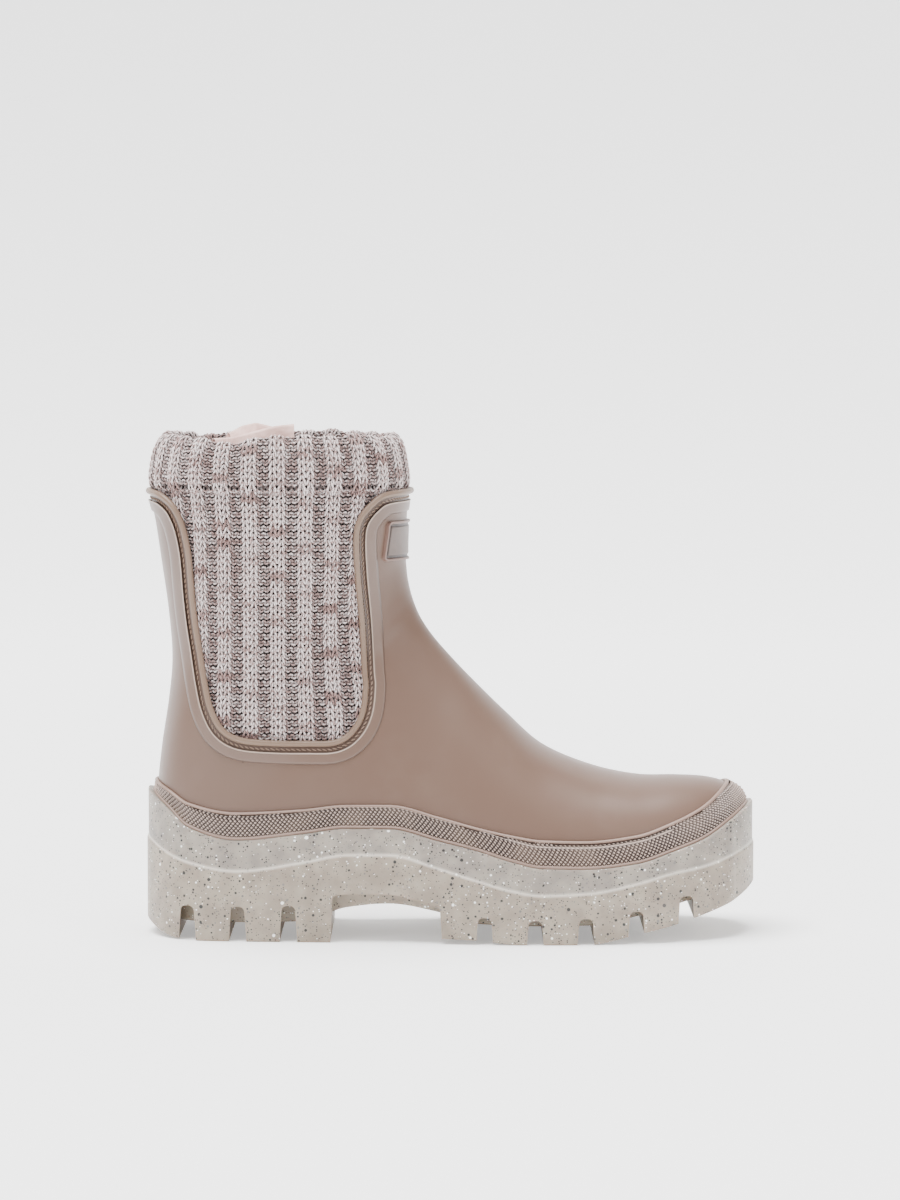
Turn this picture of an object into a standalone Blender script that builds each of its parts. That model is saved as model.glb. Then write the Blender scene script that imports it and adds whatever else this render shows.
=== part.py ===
"""A right rubber boot with a ribbed knit collar, as separate solids, in metres.

The toe points along +X, the outer side of the foot is -Y, and the sole stands on Z = 0.
One form, lofted through a fan of sections from the toe to the cuff, gives the shell, the
rand, the knit sock, the insole and the hollow of the cup sole.
"""
import math

import bmesh
import bpy
import numpy as np

# Driving sizes
SOLE_LENGTH = 0.280
BALL_WIDTH = 0.0960
HEEL_WIDTH = 0.0720
COLLAR_WIDTH = 0.0970
TOE_HEIGHT = 0.0715
INSTEP_HEIGHT = 0.1353
LIP_HEIGHT = 0.2050
CUFF_HEIGHT = 0.0245

# Walls and fits
SHELL_WALL = 0.0022
KNIT_WALL = 0.0030
RAND_WALL = 0.0013
BADGE_WALL = 0.0012
BAND_STEP = 0.0009
INSOLE_THICKNESS = 0.0045
FIT_GAP = 0.0003
PIPING_GAP = 0.0007

# Cup sole
TIER_REACH = 0.0040
LOWER_TIER_STEP = 0.0006
RIM_ROUND = 0.0010
TIER_CHAMFER = 0.0014
FORM_BASE = 0.0120
RAND_TUCK = 0.0050
SOLE_RISE = 0.0677
INNER_BODY_INSET = 0.0070
LUG_GAP_TOP = 0.0062
LUG_GAP_FOOT = 0.0100
LUG_GAP_ROUND = 0.0012
HEEL_LUG_START = 0.0200
HEEL_LUG_PITCH = 0.0231
HEEL_LUG_GAPS = 3
ARCH_START = 0.0862
ARCH_END = 0.1350
FORE_LUG_START = 0.1551
FORE_LUG_PITCH = 0.0229
FORE_LUG_GAPS = 5
MID_CHANNEL_WIDTH = 0.0080
FORE_CHANNEL_END = 0.2467
CHANNEL_RISE = 0.0010
UNDERCUT = 0.0150

# Collar line, piping, band and badge
OPENING_DEPTH = 0.1139
PIPING_DIAMETER = 0.0028
STITCH_GROOVE = 0.0020
BAND_WIDTH = 0.0053
BADGE_WIDTH = 0.0505
BADGE_HEIGHT = 0.0186
BADGE_DROP = 0.0240
BADGE_CORNER = 0.0025
BADGE_REACH = 0.0150
COLLAR_MARGIN = 0.0300

# Mesh density
PLACE_STEP = 0.02
BISECTIONS = 40
CURVE_POINTS = 90
FINE_CURVE_POINTS = 400
HEEL_TRACE = 60
TOE_TRACE = 120
OUTER_GRID = (31, 26)
INNER_GRID = (20, 18)
STATIONS = 19
OUTLINE_POINTS = 31
COLLAR_POINTS = 38
PIPING_POINTS = 60

# Fan of sections from the tip of the toe to above the cuff: back_x, back_z, front_x, front_z,
# lateral, medial, widest, low, high. Each runs from its back or lower point to its front or
# upper point; lateral and medial are the reach to either side of the centre plane, widest is
# where along the section that is, low and high are its roundness.
X, Z, B, H, C = SOLE_LENGTH, LIP_HEIGHT, BALL_WIDTH, HEEL_WIDTH, COLLAR_WIDTH
T, N, F = TOE_HEIGHT, INSTEP_HEIGHT, FORM_BASE
V, S = INSTEP_HEIGHT - TOE_HEIGHT, LIP_HEIGHT - INSTEP_HEIGHT
SECTIONS = (
    (0.984 * X, 1.70 * F, 0.984 * X, 0.820 * T, -0.074 * B, 0.074 * B, 0.50, 2.0, 2.0),
    (0.981 * X, 1.45 * F, 0.981 * X, 0.872 * T, 0.042 * B, 0.190 * B, 0.46, 2.2, 2.1),
    (0.969 * X, 1.20 * F, 0.969 * X, 0.920 * T, 0.148 * B, 0.285 * B, 0.43, 2.4, 2.2),
    (0.948 * X, 1.05 * F, 0.948 * X, 0.962 * T, 0.243 * B, 0.360 * B, 0.41, 2.5, 2.3),
    (0.916 * X, 1.00 * F, 0.916 * X, 0.990 * T, 0.320 * B, 0.415 * B, 0.40, 2.6, 2.3),
    (0.870 * X, 1.00 * F, 0.870 * X, 1.000 * T, 0.388 * B, 0.452 * B, 0.39, 2.6, 2.3),
    (0.806 * X, 1.00 * F, 0.806 * X, 1.006 * T, 0.447 * B, 0.482 * B, 0.38, 2.6, 2.3),
    (0.730 * X, 1.00 * F, 0.730 * X, 1.072 * T, 0.487 * B, 0.500 * B, 0.36, 2.6, 2.2),
    (0.650 * X, 1.00 * F, 0.650 * X, T + 0.235 * V, 0.500 * B, 0.488 * B, 0.34, 2.6, 2.1),
    (0.575 * X, 1.00 * F, 0.590 * X, T + 0.470 * V, 0.490 * B, 0.446 * B, 0.32, 2.6, 2.0),
    (0.490 * X, 1.00 * F, 0.533 * X, T + 0.718 * V, 0.462 * B, 0.395 * B, 0.31, 2.6, 1.95),
    (0.380 * X, 1.00 * F, 0.497 * X, T + 0.885 * V, 0.424 * B, 0.358 * B, 0.31, 2.6, 1.9),
    (0.250 * X, 1.05 * F, 0.470 * X, N + 0.020 * S, 0.397 * B, 0.350 * B, 0.32, 2.5, 1.9),
    (0.115 * X, 1.25 * F, 0.451 * X, N + 0.132 * S, 0.388 * B, 0.366 * B, 0.33, 2.4, 1.9),
    (0.032 * X, 1.85 * F, 0.440 * X, N + 0.229 * S, 0.505 * H, 0.498 * H, 0.34, 2.3, 1.9),
    (0.0164 * X, 0.270 * Z, 0.433 * X, N + 0.320 * S, 0.508 * H, 0.505 * H, 0.35, 2.1, 1.95),
    (0.0180 * X, 0.345 * Z, 0.4285 * X, N + 0.412 * S, 0.518 * H, 0.518 * H, 0.37, 2.1, 2.0),
    (0.0246 * X, 0.428 * Z, 0.4262 * X, N + 0.509 * S, 0.402 * C, 0.402 * C, 0.40, 2.1, 2.0),
    (0.0360 * X, 0.530 * Z, 0.4258 * X, N + 0.594 * S, 0.418 * C, 0.418 * C, 0.43, 2.1, 2.05),
    (0.0415 * X, 0.620 * Z, 0.4262 * X, N + 0.670 * S, 0.436 * C, 0.436 * C, 0.46, 2.1, 2.05),
    (0.0360 * X, 0.723 * Z, 0.4270 * X, N + 0.750 * S, 0.458 * C, 0.458 * C, 0.48, 2.1, 2.1),
    (0.0254 * X, 0.828 * Z, 0.4280 * X, N + 0.832 * S, 0.478 * C, 0.478 * C, 0.49, 2.1, 2.1),
    (0.0146 * X, 0.927 * Z, 0.4305 * X, N + 0.918 * S, 0.492 * C, 0.492 * C, 0.50, 2.1, 2.1),
    (0.0035 * X, 1.000 * Z, 0.4345 * X, 1.000 * Z, 0.500 * C, 0.500 * C, 0.50, 2.1, 2.1),
    (0.0100 * X, 1.070 * Z, 0.4270 * X, 1.068 * Z, 0.494 * C, 0.494 * C, 0.50, 2.1, 2.1),
    (0.0210 * X, 1.135 * Z, 0.4190 * X, 1.135 * Z, 0.484 * C, 0.484 * C, 0.50, 2.1, 2.1),
)
LIP_ROW = 23
SHAFT_ROW = 17
ARCH_ROW = 12
INSTEP_ROW = 10
TOE_ROW = 3
NOSE_REACH = 0.6

# Lines round the sole from heel to toe: along is a share of SOLE_LENGTH, the heights are
# shares of SOLE_RISE. Ground is the foot of the lugs, body the recessed sole between them,
# notch the top of the gaps in the side, step the ledge between the tiers, rim the top of the
# cup, rand the top of the textured strip and floor the inside of the cup.
LINE_COLUMNS = ("along", "ground", "body", "notch", "step", "rim", "rand", "floor")
LINES = (
    (0.000, 0.096, 0.207, 0.251, 0.653, 1.000, 1.066, 0.473),
    (0.040, 0.018, 0.133, 0.240, 0.560, 0.874, 0.990, 0.465),
    (0.072, 0.000, 0.114, 0.236, 0.512, 0.760, 0.915, 0.458),
    (0.150, 0.000, 0.114, 0.236, 0.459, 0.679, 0.860, 0.443),
    (0.260, 0.000, 0.126, 0.251, 0.521, 0.725, 0.882, 0.443),
    (0.330, 0.000, 0.222, 0.326, 0.574, 0.762, 0.912, 0.443),
    (0.400, 0.010, 0.251, 0.328, 0.577, 0.762, 0.914, 0.428),
    (0.480, 0.035, 0.200, 0.245, 0.490, 0.686, 0.840, 0.384),
    (0.540, 0.027, 0.126, 0.189, 0.414, 0.626, 0.774, 0.347),
    (0.600, 0.003, 0.114, 0.170, 0.345, 0.550, 0.720, 0.303),
    (0.645, 0.000, 0.111, 0.164, 0.316, 0.510, 0.691, 0.281),
    (0.720, 0.000, 0.115, 0.178, 0.328, 0.503, 0.682, 0.281),
    (0.800, 0.062, 0.170, 0.220, 0.388, 0.534, 0.713, 0.303),
    (0.860, 0.116, 0.235, 0.285, 0.452, 0.608, 0.790, 0.347),
    (0.910, 0.177, 0.290, 0.345, 0.487, 0.680, 0.880, 0.399),
    (0.960, 0.248, 0.350, 0.400, 0.549, 0.800, 1.030, 0.465),
    (1.000, 0.335, 0.430, 0.470, 0.607, 0.897, 1.160, 0.532),
)

# Collar line of the shell seen from the side, from the back lip round the scallop to the
# front lip: along is a share of SOLE_LENGTH, drop a share of OPENING_DEPTH below the lip.
COLLAR_LINE = (
    (0.0000, 0.000), (0.0280, 0.013), (0.0511, 0.054), (0.0657, 0.114), (0.0739, 0.175),
    (0.0807, 0.268), (0.0854, 0.421), (0.0904, 0.535), (0.0979, 0.652), (0.1054, 0.765),
    (0.1150, 0.866), (0.1320, 0.945), (0.1600, 0.984), (0.2100, 0.997), (0.2700, 1.000),
    (0.3120, 0.995), (0.3370, 0.955), (0.3520, 0.885), (0.3565, 0.790), (0.3546, 0.728),
    (0.3504, 0.535), (0.3440, 0.345), (0.3421, 0.192), (0.3486, 0.114), (0.3686, 0.050),
    (0.3932, 0.012), (0.4400, 0.000),
)

# Folded top of the knit cuff: rise is a share of CUFF_HEIGHT, inset a share of its thickness
CUFF_PROFILE = (
    (0.00, 0.08), (0.14, 0.00), (0.45, 0.00), (0.75, 0.03), (0.92, 0.14), (1.00, 0.36),
    (1.00, 0.64), (0.92, 0.86), (0.75, 0.97), (0.00, 1.00),
)


def srgb(red, green, blue):
    """Return a linear colour from an 8-bit screen colour."""
    return tuple((c / 255.0) ** 2.2 for c in (red, green, blue)) + (1.0,)


RUBBER = ("taupe rubber", srgb(152, 134, 122), 0.42)
RAND_RUBBER = ("knurled rubber", srgb(146, 129, 118), 0.55)
PIPING_RUBBER = ("piping rubber", srgb(168, 151, 138), 0.40)
SOLE_RUBBER = ("speckled sole rubber", srgb(192, 185, 174), 0.50)
KNIT = ("marled knit", srgb(196, 184, 176), 0.90)
FELT = ("insole felt", srgb(150, 140, 132), 0.95)
BADGE_RUBBER = ("badge rubber", srgb(172, 150, 146), 0.50)


def rounded_table(rows, place, mirror_start=None):
    """Read a table of equally spaced rows at a fractional row, as a Catmull-Rom curve."""
    rows = np.asarray(rows, dtype=float)
    before = 2.0 * rows[0] - rows[1] if mirror_start is None else mirror_start
    after = 2.0 * rows[-1] - rows[-2]
    padded = np.vstack([before, rows, after])
    index = min(int(place), len(rows) - 2)
    u = place - index
    p0, p1, p2, p3 = padded[index:index + 4]
    return 0.5 * (2.0 * p1 + (p2 - p0) * u + (2.0 * p0 - 5.0 * p1 + 4.0 * p2 - p3) * u * u
                  + (3.0 * p1 - p0 - 3.0 * p2 + p3) * u ** 3)


def monotone(xs, ys, x):
    """Read a height line at x with a cubic that never overshoots its points."""
    xs = np.asarray(xs)
    ys = np.asarray(ys)
    steps = np.diff(xs)
    slopes = np.diff(ys) / steps
    tangents = np.zeros(len(xs))
    tangents[0], tangents[-1] = slopes[0], slopes[-1]
    for k in range(1, len(xs) - 1):
        if slopes[k - 1] * slopes[k] > 0.0:
            tangents[k] = 2.0 / (1.0 / slopes[k - 1] + 1.0 / slopes[k])
    x = float(np.clip(x, xs[0], xs[-1]))
    k = min(int(np.searchsorted(xs, x, side="right")) - 1, len(xs) - 2)
    u = (x - xs[k]) / steps[k]
    return float((1 + 2 * u) * (1 - u) ** 2 * ys[k] + u * (1 - u) ** 2 * steps[k] * tangents[k]
                 + u * u * (3 - 2 * u) * ys[k + 1] - u * u * (1 - u) * steps[k] * tangents[k + 1])


def line(name, x):
    """Return the height of one line of the sole at a distance x from the back of the heel."""
    column = LINE_COLUMNS.index(name)
    along = [row[0] * SOLE_LENGTH for row in LINES]
    return monotone(along, [row[column] * SOLE_RISE for row in LINES], x)


def toe_phantom():
    """Return the row before the tip that carries the nose round to the other side."""
    tip, second = np.array(SECTIONS[0]), np.array(SECTIONS[1])
    row = 2.0 * tip - second
    row[0], row[2] = second[0], second[2]
    row[4], row[5] = -second[5], -second[4]
    return row


def section(place, offset=0.0):
    """Return one section's columns, moved outwards by an offset from the shell's surface."""
    start = toe_phantom()
    row = rounded_table(SECTIONS, place, start)
    low = max(place - PLACE_STEP, 0.0)
    high = min(place + PLACE_STEP, len(SECTIONS) - 1.0)
    step = rounded_table(SECTIONS, high, start) - rounded_table(SECTIONS, low, start)
    if place <= PLACE_STEP:
        step[0] = step[2] = 0.0
    back = np.array([-step[1], step[0]])
    front = np.array([step[3], -step[2]])
    row[0:2] += offset * back / np.linalg.norm(back)
    row[2:4] += offset * front / np.linalg.norm(front)
    row[4:6] += offset
    return row


def section_point(row, angle):
    """Return a point of a section; angles run from its back over the outer side to its front."""
    turn = angle % (2.0 * math.pi)
    lateral = turn <= math.pi
    half_turn = turn if lateral else 2.0 * math.pi - turn
    cosine, sine = math.cos(half_turn), max(math.sin(half_turn), 0.0)
    widest, power = row[6], (row[7] if cosine > 0.0 else row[8])
    reach = abs(cosine) ** (2.0 / power)
    share = widest * (1.0 - reach) if cosine > 0.0 else widest + (1.0 - widest) * reach
    centre, half = (row[5] - row[4]) / 2.0, (row[5] + row[4]) / 2.0
    y = centre + (-half if lateral else half) * sine ** (2.0 / power)
    x = row[0] + (row[2] - row[0]) * share
    z = row[1] + (row[3] - row[1]) * share
    return np.array([x, y, z])


def first_place(offset):
    """Return the place at the toe where an inner form's nose closes."""
    low, high = 0.0, float(TOE_ROW)
    if offset >= 0.0:
        return low
    for _ in range(BISECTIONS):
        middle = (low + high) / 2.0
        row = section(middle, offset)
        low, high = (middle, high) if row[4] + row[5] < 0.0 else (low, middle)
    return high


def new_object(name, mesh_data, collection, finish=None):
    """Add a bmesh to a collection as an object, with its origin at the boot's own origin."""
    mesh = bpy.data.meshes.new(name)
    bmesh.ops.recalc_face_normals(mesh_data, faces=mesh_data.faces)
    if mesh_data.calc_volume(signed=True) < 0.0:
        bmesh.ops.reverse_faces(mesh_data, faces=mesh_data.faces)
    bmesh.ops.translate(mesh_data, verts=mesh_data.verts, vec=(-SOLE_LENGTH / 2.0, 0.0, 0.0))
    mesh_data.to_mesh(mesh)
    mesh_data.free()
    obj = bpy.data.objects.new(name, mesh)
    collection.objects.link(obj)
    if finish:
        label, colour, roughness = finish
        material = bpy.data.materials.new(label)
        material.use_nodes = True
        shader = material.node_tree.nodes["Principled BSDF"]
        shader.inputs["Base Color"].default_value = colour
        shader.inputs["Roughness"].default_value = roughness
        mesh.materials.append(material)
    else:
        obj.hide_render = True
        obj.display_type = "WIRE"
    return obj


def loft(rows, ring=False):
    """Join rows of points, each a closed loop, into a bmesh."""
    data = bmesh.new()
    verts = [[data.verts.new(point) for point in row] for row in rows]
    count = len(rows[0])
    pairs = list(zip(verts, verts[1:]))
    if ring:
        pairs.append((verts[-1], verts[0]))
    for low, high in pairs:
        for j in range(count):
            k = (j + 1) % count
            from_back = min(j, count - 1 - j)
            rising = (j < count // 2) == (from_back < count // 4)
            if rising:
                data.faces.new((low[j], low[k], high[k]))
                data.faces.new((low[j], high[k], high[j]))
            else:
                data.faces.new((low[j], low[k], high[j]))
                data.faces.new((low[k], high[k], high[j]))
    return data, verts


def close_across(data, row):
    """Close a loop with strips from one side of the boot to the other."""
    count = len(row)
    for j in range(count // 2):
        corners = [row[j], row[j + 1], row[(count - j - 1) % count], row[(count - j) % count]]
        data.faces.new(list(dict.fromkeys(corners)))


def form(name, offset, collection, finish=None):
    """Build the closed form of the boot at an offset from the shell's outer surface."""
    start = first_place(offset)
    last = len(SECTIONS) - 1
    row_count, around = OUTER_GRID if offset >= 0.0 else INNER_GRID
    places = [last * k / row_count for k in range(row_count + 1)]
    places = [start] + [place for place in places if place > NOSE_REACH]
    angles = [2.0 * math.pi * j / around for j in range(around)]
    rows = [[section_point(section(place, offset), a) for a in angles] for place in places]
    data, verts = loft(rows)
    data.faces.new(verts[-1])
    if offset > 0.0:
        close_across(data, verts[0])
    bmesh.ops.remove_doubles(data, verts=data.verts, dist=1e-6)
    return new_object(name, data, collection, finish)


def ruled_block(name, low, high, half_width, collection, finish=None):
    """Build a block across the boot between two height lines given as functions of x."""
    stations = np.linspace(-0.04, 1.04, STATIONS) * SOLE_LENGTH
    rows = []
    for x in stations:
        rows.append([(x, -half_width, low(x)), (x, half_width, low(x)),
                     (x, half_width, high(x)), (x, -half_width, high(x))])
    data, verts = loft(rows)
    data.faces.new(verts[0])
    data.faces.new(verts[-1])
    return new_object(name, data, collection, finish)


def prism(name, outline, half_width, collection):
    """Extrude a closed outline in the side view across the boot."""
    data, verts = loft([[(x, -half_width, z) for x, z in outline],
                        [(x, half_width, z) for x, z in outline]])
    data.faces.new(verts[0])
    data.faces.new(verts[1])
    return new_object(name, data, collection)


def boolean(target, tool, operation):
    """Add one exact Boolean to a piece."""
    modifier = target.modifiers.new(tool.name, "BOOLEAN")
    modifier.operation = operation
    modifier.solver = "EXACT"
    modifier.object = tool
    return target


def even(points, count):
    """Return points spaced evenly along an open polyline."""
    points = np.asarray(points)
    reach = np.concatenate([[0.0], np.cumsum(np.linalg.norm(np.diff(points, axis=0), axis=1))])
    marks = np.linspace(0.0, reach[-1], count)
    return np.column_stack([np.interp(marks, reach, points[:, k]) for k in range(points.shape[1])])


def plan_side(side):
    """Trace the form at the cup's rim in plan, from the heel's back to the tip of the toe."""
    low, high = float(SHAFT_ROW), float(INSTEP_ROW)
    for _ in range(BISECTIONS):
        middle = (low + high) / 2.0
        row = section(middle)
        above_line = row[1] > line("rim", row[0]) - RAND_TUCK
        low, high = (middle, high) if above_line else (low, middle)
    points = []
    heel_run = low - (low - ARCH_ROW) * np.linspace(0.0, 1.0, HEEL_TRACE) ** 2
    for place in np.concatenate([heel_run, np.linspace(ARCH_ROW, 0.0, TOE_TRACE)[1:]]):
        row = section(place)
        foot, top = 0.0, math.pi / 2.0 if place > TOE_ROW else math.pi
        for _ in range(BISECTIONS):
            middle = (foot + top) / 2.0
            point = section_point(row, middle)
            below = point[2] < line("rim", point[0]) - RAND_TUCK
            foot, top = (middle, top) if below else (foot, middle)
        points.append(section_point(row, side * foot)[:2])
    return points


def plan_outline(offset, count=OUTLINE_POINTS):
    """Return lateral and medial points of the sole's outline, heel to toe, moved outwards."""
    lateral = even(plan_side(1), count)
    medial = even(plan_side(-1), count)
    loop = np.vstack([lateral, medial[-2:0:-1]])
    tangent = np.roll(loop, -1, axis=0) - np.roll(loop, 1, axis=0)
    normal = np.column_stack([tangent[:, 1], -tangent[:, 0]])
    loop = loop + offset * normal / np.linalg.norm(normal, axis=1)[:, None]
    return loop


def outline_loft(name, levels, collection, finish=None):
    """Loft a piece with the sole's outline through levels of (offset, height function)."""
    rows = []
    for offset, height in levels:
        loop = plan_outline(offset)
        rows.append([(x, y, height(x)) for x, y in loop])
    data, verts = loft(rows)
    close_across(data, verts[0])
    close_across(data, verts[-1])
    return new_object(name, data, collection, finish)


def lug_gap(name, x, cutters, first=None, last=None):
    """Cut one gap between lugs, narrow at its rounded top and wide at the floor."""
    first = x if first is None else first
    last = x if last is None else last
    top_half, foot_half = LUG_GAP_TOP / 2.0, LUG_GAP_FOOT / 2.0
    inner = np.linspace(first - top_half + LUG_GAP_ROUND, last + top_half - LUG_GAP_ROUND, 7)
    outline = [(first - foot_half, -UNDERCUT)]
    outline.append((first - top_half, line("notch", first) - LUG_GAP_ROUND))
    outline += [(px, line("notch", px)) for px in inner]
    outline.append((last + top_half, line("notch", last) - LUG_GAP_ROUND))
    outline.append((last + foot_half, -UNDERCUT))
    return prism(name, outline, BALL_WIDTH, cutters)


def make_outsole(parts, cutters):
    """Build the cup sole: stepped side, lugs with gaps, recessed body and hollow for the upper."""
    lower = TIER_REACH + LOWER_TIER_STEP
    levels = [
        (lower - RIM_ROUND, lambda x: line("ground", x)),
        (lower, lambda x: line("ground", x) + RIM_ROUND),
        (lower, lambda x: line("step", x)),
        (TIER_REACH, lambda x: line("step", x) + TIER_CHAMFER),
        (TIER_REACH, lambda x: line("rim", x) - RIM_ROUND),
        (TIER_REACH - RIM_ROUND, lambda x: line("rim", x)),
    ]
    sole = outline_loft("outsole", levels, parts, SOLE_RUBBER)
    for k in range(HEEL_LUG_GAPS):
        x = HEEL_LUG_START + k * HEEL_LUG_PITCH
        boolean(sole, lug_gap(f"heel_gap_{k + 1}", x, cutters), "DIFFERENCE")
    boolean(sole, lug_gap("arch_gap", 0.0, cutters, ARCH_START + LUG_GAP_TOP / 2.0,
                          ARCH_END - LUG_GAP_TOP / 2.0), "DIFFERENCE")
    for k in range(FORE_LUG_GAPS):
        x = FORE_LUG_START + k * FORE_LUG_PITCH
        boolean(sole, lug_gap(f"fore_gap_{k + 1}", x, cutters), "DIFFERENCE")
    for name, first, last in (("heel_channel", HEEL_LUG_START, ARCH_START + LUG_GAP_TOP),
                              ("fore_channel", ARCH_END - LUG_GAP_TOP, FORE_CHANNEL_END)):
        top = [(x, line("body", x) + CHANNEL_RISE) for x in np.linspace(first, last, 9)]
        channel = prism(name, [(first, -UNDERCUT)] + top + [(last, -UNDERCUT)],
                        MID_CHANNEL_WIDTH / 2.0, cutters)
        boolean(sole, channel, "DIFFERENCE")
    inset = TIER_REACH - INNER_BODY_INSET
    body = outline_loft("recessed_body", [
        (inset - RIM_ROUND, lambda x: line("body", x)),
        (inset, lambda x: line("body", x) + RIM_ROUND),
        (inset, lambda x: line("notch", x) + RIM_ROUND),
    ], cutters)
    boolean(sole, body, "UNION")
    hollow = form("cup_hollow", RAND_WALL + 2.0 * FIT_GAP, cutters)
    below = ruled_block("below_floor", lambda x: -UNDERCUT, lambda x: line("floor", x),
                        BALL_WIDTH, cutters)
    boolean(hollow, below, "DIFFERENCE")
    boolean(sole, hollow, "DIFFERENCE")
    return sole


def collar_curve(shift, count=CURVE_POINTS):
    """Return the collar line in the side view, moved from the knit towards the shell."""
    last = len(COLLAR_LINE) - 1
    points = []
    for place in np.linspace(0.0, last, 12 * last + 1):
        along, drop = rounded_table(COLLAR_LINE, place)
        points.append((along * SOLE_LENGTH, LIP_HEIGHT - drop * OPENING_DEPTH))
    points = even(points, count)
    tangent = np.gradient(points, axis=0)
    normal = np.column_stack([tangent[:, 1], -tangent[:, 0]])
    return points + shift * normal / np.linalg.norm(normal, axis=1)[:, None]


def above(curve):
    """Close a collar curve over the top of the boot, past its back and front."""
    margin, ceiling = COLLAR_MARGIN, 2.0 * LIP_HEIGHT
    return ([(-margin, ceiling), (-margin, curve[0][1])] + [tuple(p) for p in curve]
            + [(curve[-1][0] + margin, curve[-1][1]), (curve[-1][0] + margin, ceiling)])


def make_upper(parts, cutters):
    """Build the hollow shell with its scalloped collar and the raised band beside it."""
    upper = form("upper", 0.0, parts, RUBBER)
    below = ruled_block("below_shell", lambda x: -UNDERCUT,
                        lambda x: line("floor", x) + FIT_GAP, BALL_WIDTH, cutters)
    edge = PIPING_DIAMETER + PIPING_GAP
    opening = prism("collar_opening", above(collar_curve(edge, COLLAR_POINTS)), BALL_WIDTH, cutters)
    band = form("collar_band", BAND_STEP, cutters)
    near = collar_curve(edge + STITCH_GROOVE, COLLAR_POINTS)
    far = collar_curve(edge + STITCH_GROOVE + BAND_WIDTH, COLLAR_POINTS)
    margin = COLLAR_MARGIN
    strip = ([(-margin, near[0][1])] + [tuple(p) for p in near]
             + [(near[-1][0] + margin, near[-1][1]), (far[-1][0] + margin, far[-1][1])]
             + [tuple(p) for p in far[::-1]] + [(-margin, far[0][1])])
    boolean(band, prism("band_strip", strip, BALL_WIDTH, cutters), "INTERSECT")
    boolean(upper, band, "UNION")
    boolean(upper, form("shell_inside", -SHELL_WALL, cutters), "DIFFERENCE")
    boolean(upper, opening, "DIFFERENCE")
    boolean(upper, below, "DIFFERENCE")
    return upper


def make_rand(parts, cutters):
    """Build the strip between the cup and the shell, cut between two larger forms."""
    rand = form("rand", FIT_GAP + RAND_WALL, parts, RAND_RUBBER)
    strip = ruled_block("rand_strip", lambda x: line("rim", x) - RAND_TUCK,
                        lambda x: line("rand", x), BALL_WIDTH, cutters)
    boolean(rand, strip, "INTERSECT")
    boolean(rand, form("rand_inside", FIT_GAP, cutters), "DIFFERENCE")
    return rand


def make_liner(parts, cutters):
    """Build the knit sock inside the shell, up to the lip."""
    liner = form("knit_liner", -SHELL_WALL - FIT_GAP, parts, KNIT)
    inside = form("liner_inside", -SHELL_WALL - FIT_GAP - KNIT_WALL, cutters)
    below = ruled_block("below_liner", lambda x: -UNDERCUT,
                        lambda x: line("floor", x) + FIT_GAP, BALL_WIDTH, cutters)
    top = LIP_HEIGHT - FIT_GAP
    over = prism("over_liner", [(-SOLE_LENGTH, top), (2.0 * SOLE_LENGTH, top),
                                (2.0 * SOLE_LENGTH, 2.0 * top), (-SOLE_LENGTH, 2.0 * top)],
                 BALL_WIDTH, cutters)
    boolean(liner, inside, "DIFFERENCE")
    boolean(liner, below, "DIFFERENCE")
    boolean(liner, over, "DIFFERENCE")
    return liner


def lip_form_row(height, offset, count):
    """Return a level loop of the form at a height at or above the lip."""
    low, high = LIP_ROW - 1.0, len(SECTIONS) - 1.0
    for _ in range(BISECTIONS):
        middle = (low + high) / 2.0
        low, high = (middle, high) if section(middle)[1] < height else (low, middle)
    row = section(high, offset)
    row[1] = row[3] = height
    return [section_point(row, 2.0 * math.pi * j / count) for j in range(count)]


def make_cuff(parts):
    """Build the folded-over cuff as a ring with a round fold on top."""
    thickness = 2.0 * KNIT_WALL
    rows = []
    for rise, inset in CUFF_PROFILE:
        height = LIP_HEIGHT + FIT_GAP + rise * CUFF_HEIGHT
        rows.append(lip_form_row(height, -inset * thickness, OUTER_GRID[1]))
    data, _ = loft(rows, ring=True)
    return new_object("knit_cuff", data, parts, KNIT)


def make_insole(parts, cutters):
    """Build the footbed inside the sock."""
    clear = -SHELL_WALL - KNIT_WALL - 2.0 * FIT_GAP
    insole = form("insole", clear, parts, FELT)
    slab = ruled_block("insole_slab", lambda x: line("floor", x) + FIT_GAP,
                       lambda x: line("floor", x) + FIT_GAP + INSOLE_THICKNESS,
                       BALL_WIDTH, cutters)
    return boolean(insole, slab, "INTERSECT")


def surface_points(curve, side, offset):
    """Lift a curve of the side view onto the form, on one side of the boot."""
    points = []
    for x, z in curve:
        low, high = INSTEP_ROW - 1.0, len(SECTIONS) - 1.0
        for _ in range(BISECTIONS):
            middle = (low + high) / 2.0
            row = section(middle, offset)
            across = (row[2] - row[0]) * (z - row[1]) - (row[3] - row[1]) * (x - row[0])
            low, high = (middle, high) if across > 0.0 else (low, middle)
        row = section(high, offset)
        share = (x - row[0]) / (row[2] - row[0])
        if not 0.0 < share < 1.0:
            continue
        widest = row[6]
        power = row[7] if share < widest else row[8]
        run = (widest - share) / widest if share < widest else (share - widest) / (1.0 - widest)
        reach = (1.0 - run ** power) ** (1.0 / power)
        centre, half = (row[5] - row[4]) / 2.0, (row[5] + row[4]) / 2.0
        points.append((x, centre + side * half * reach, z))
    return points


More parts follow.
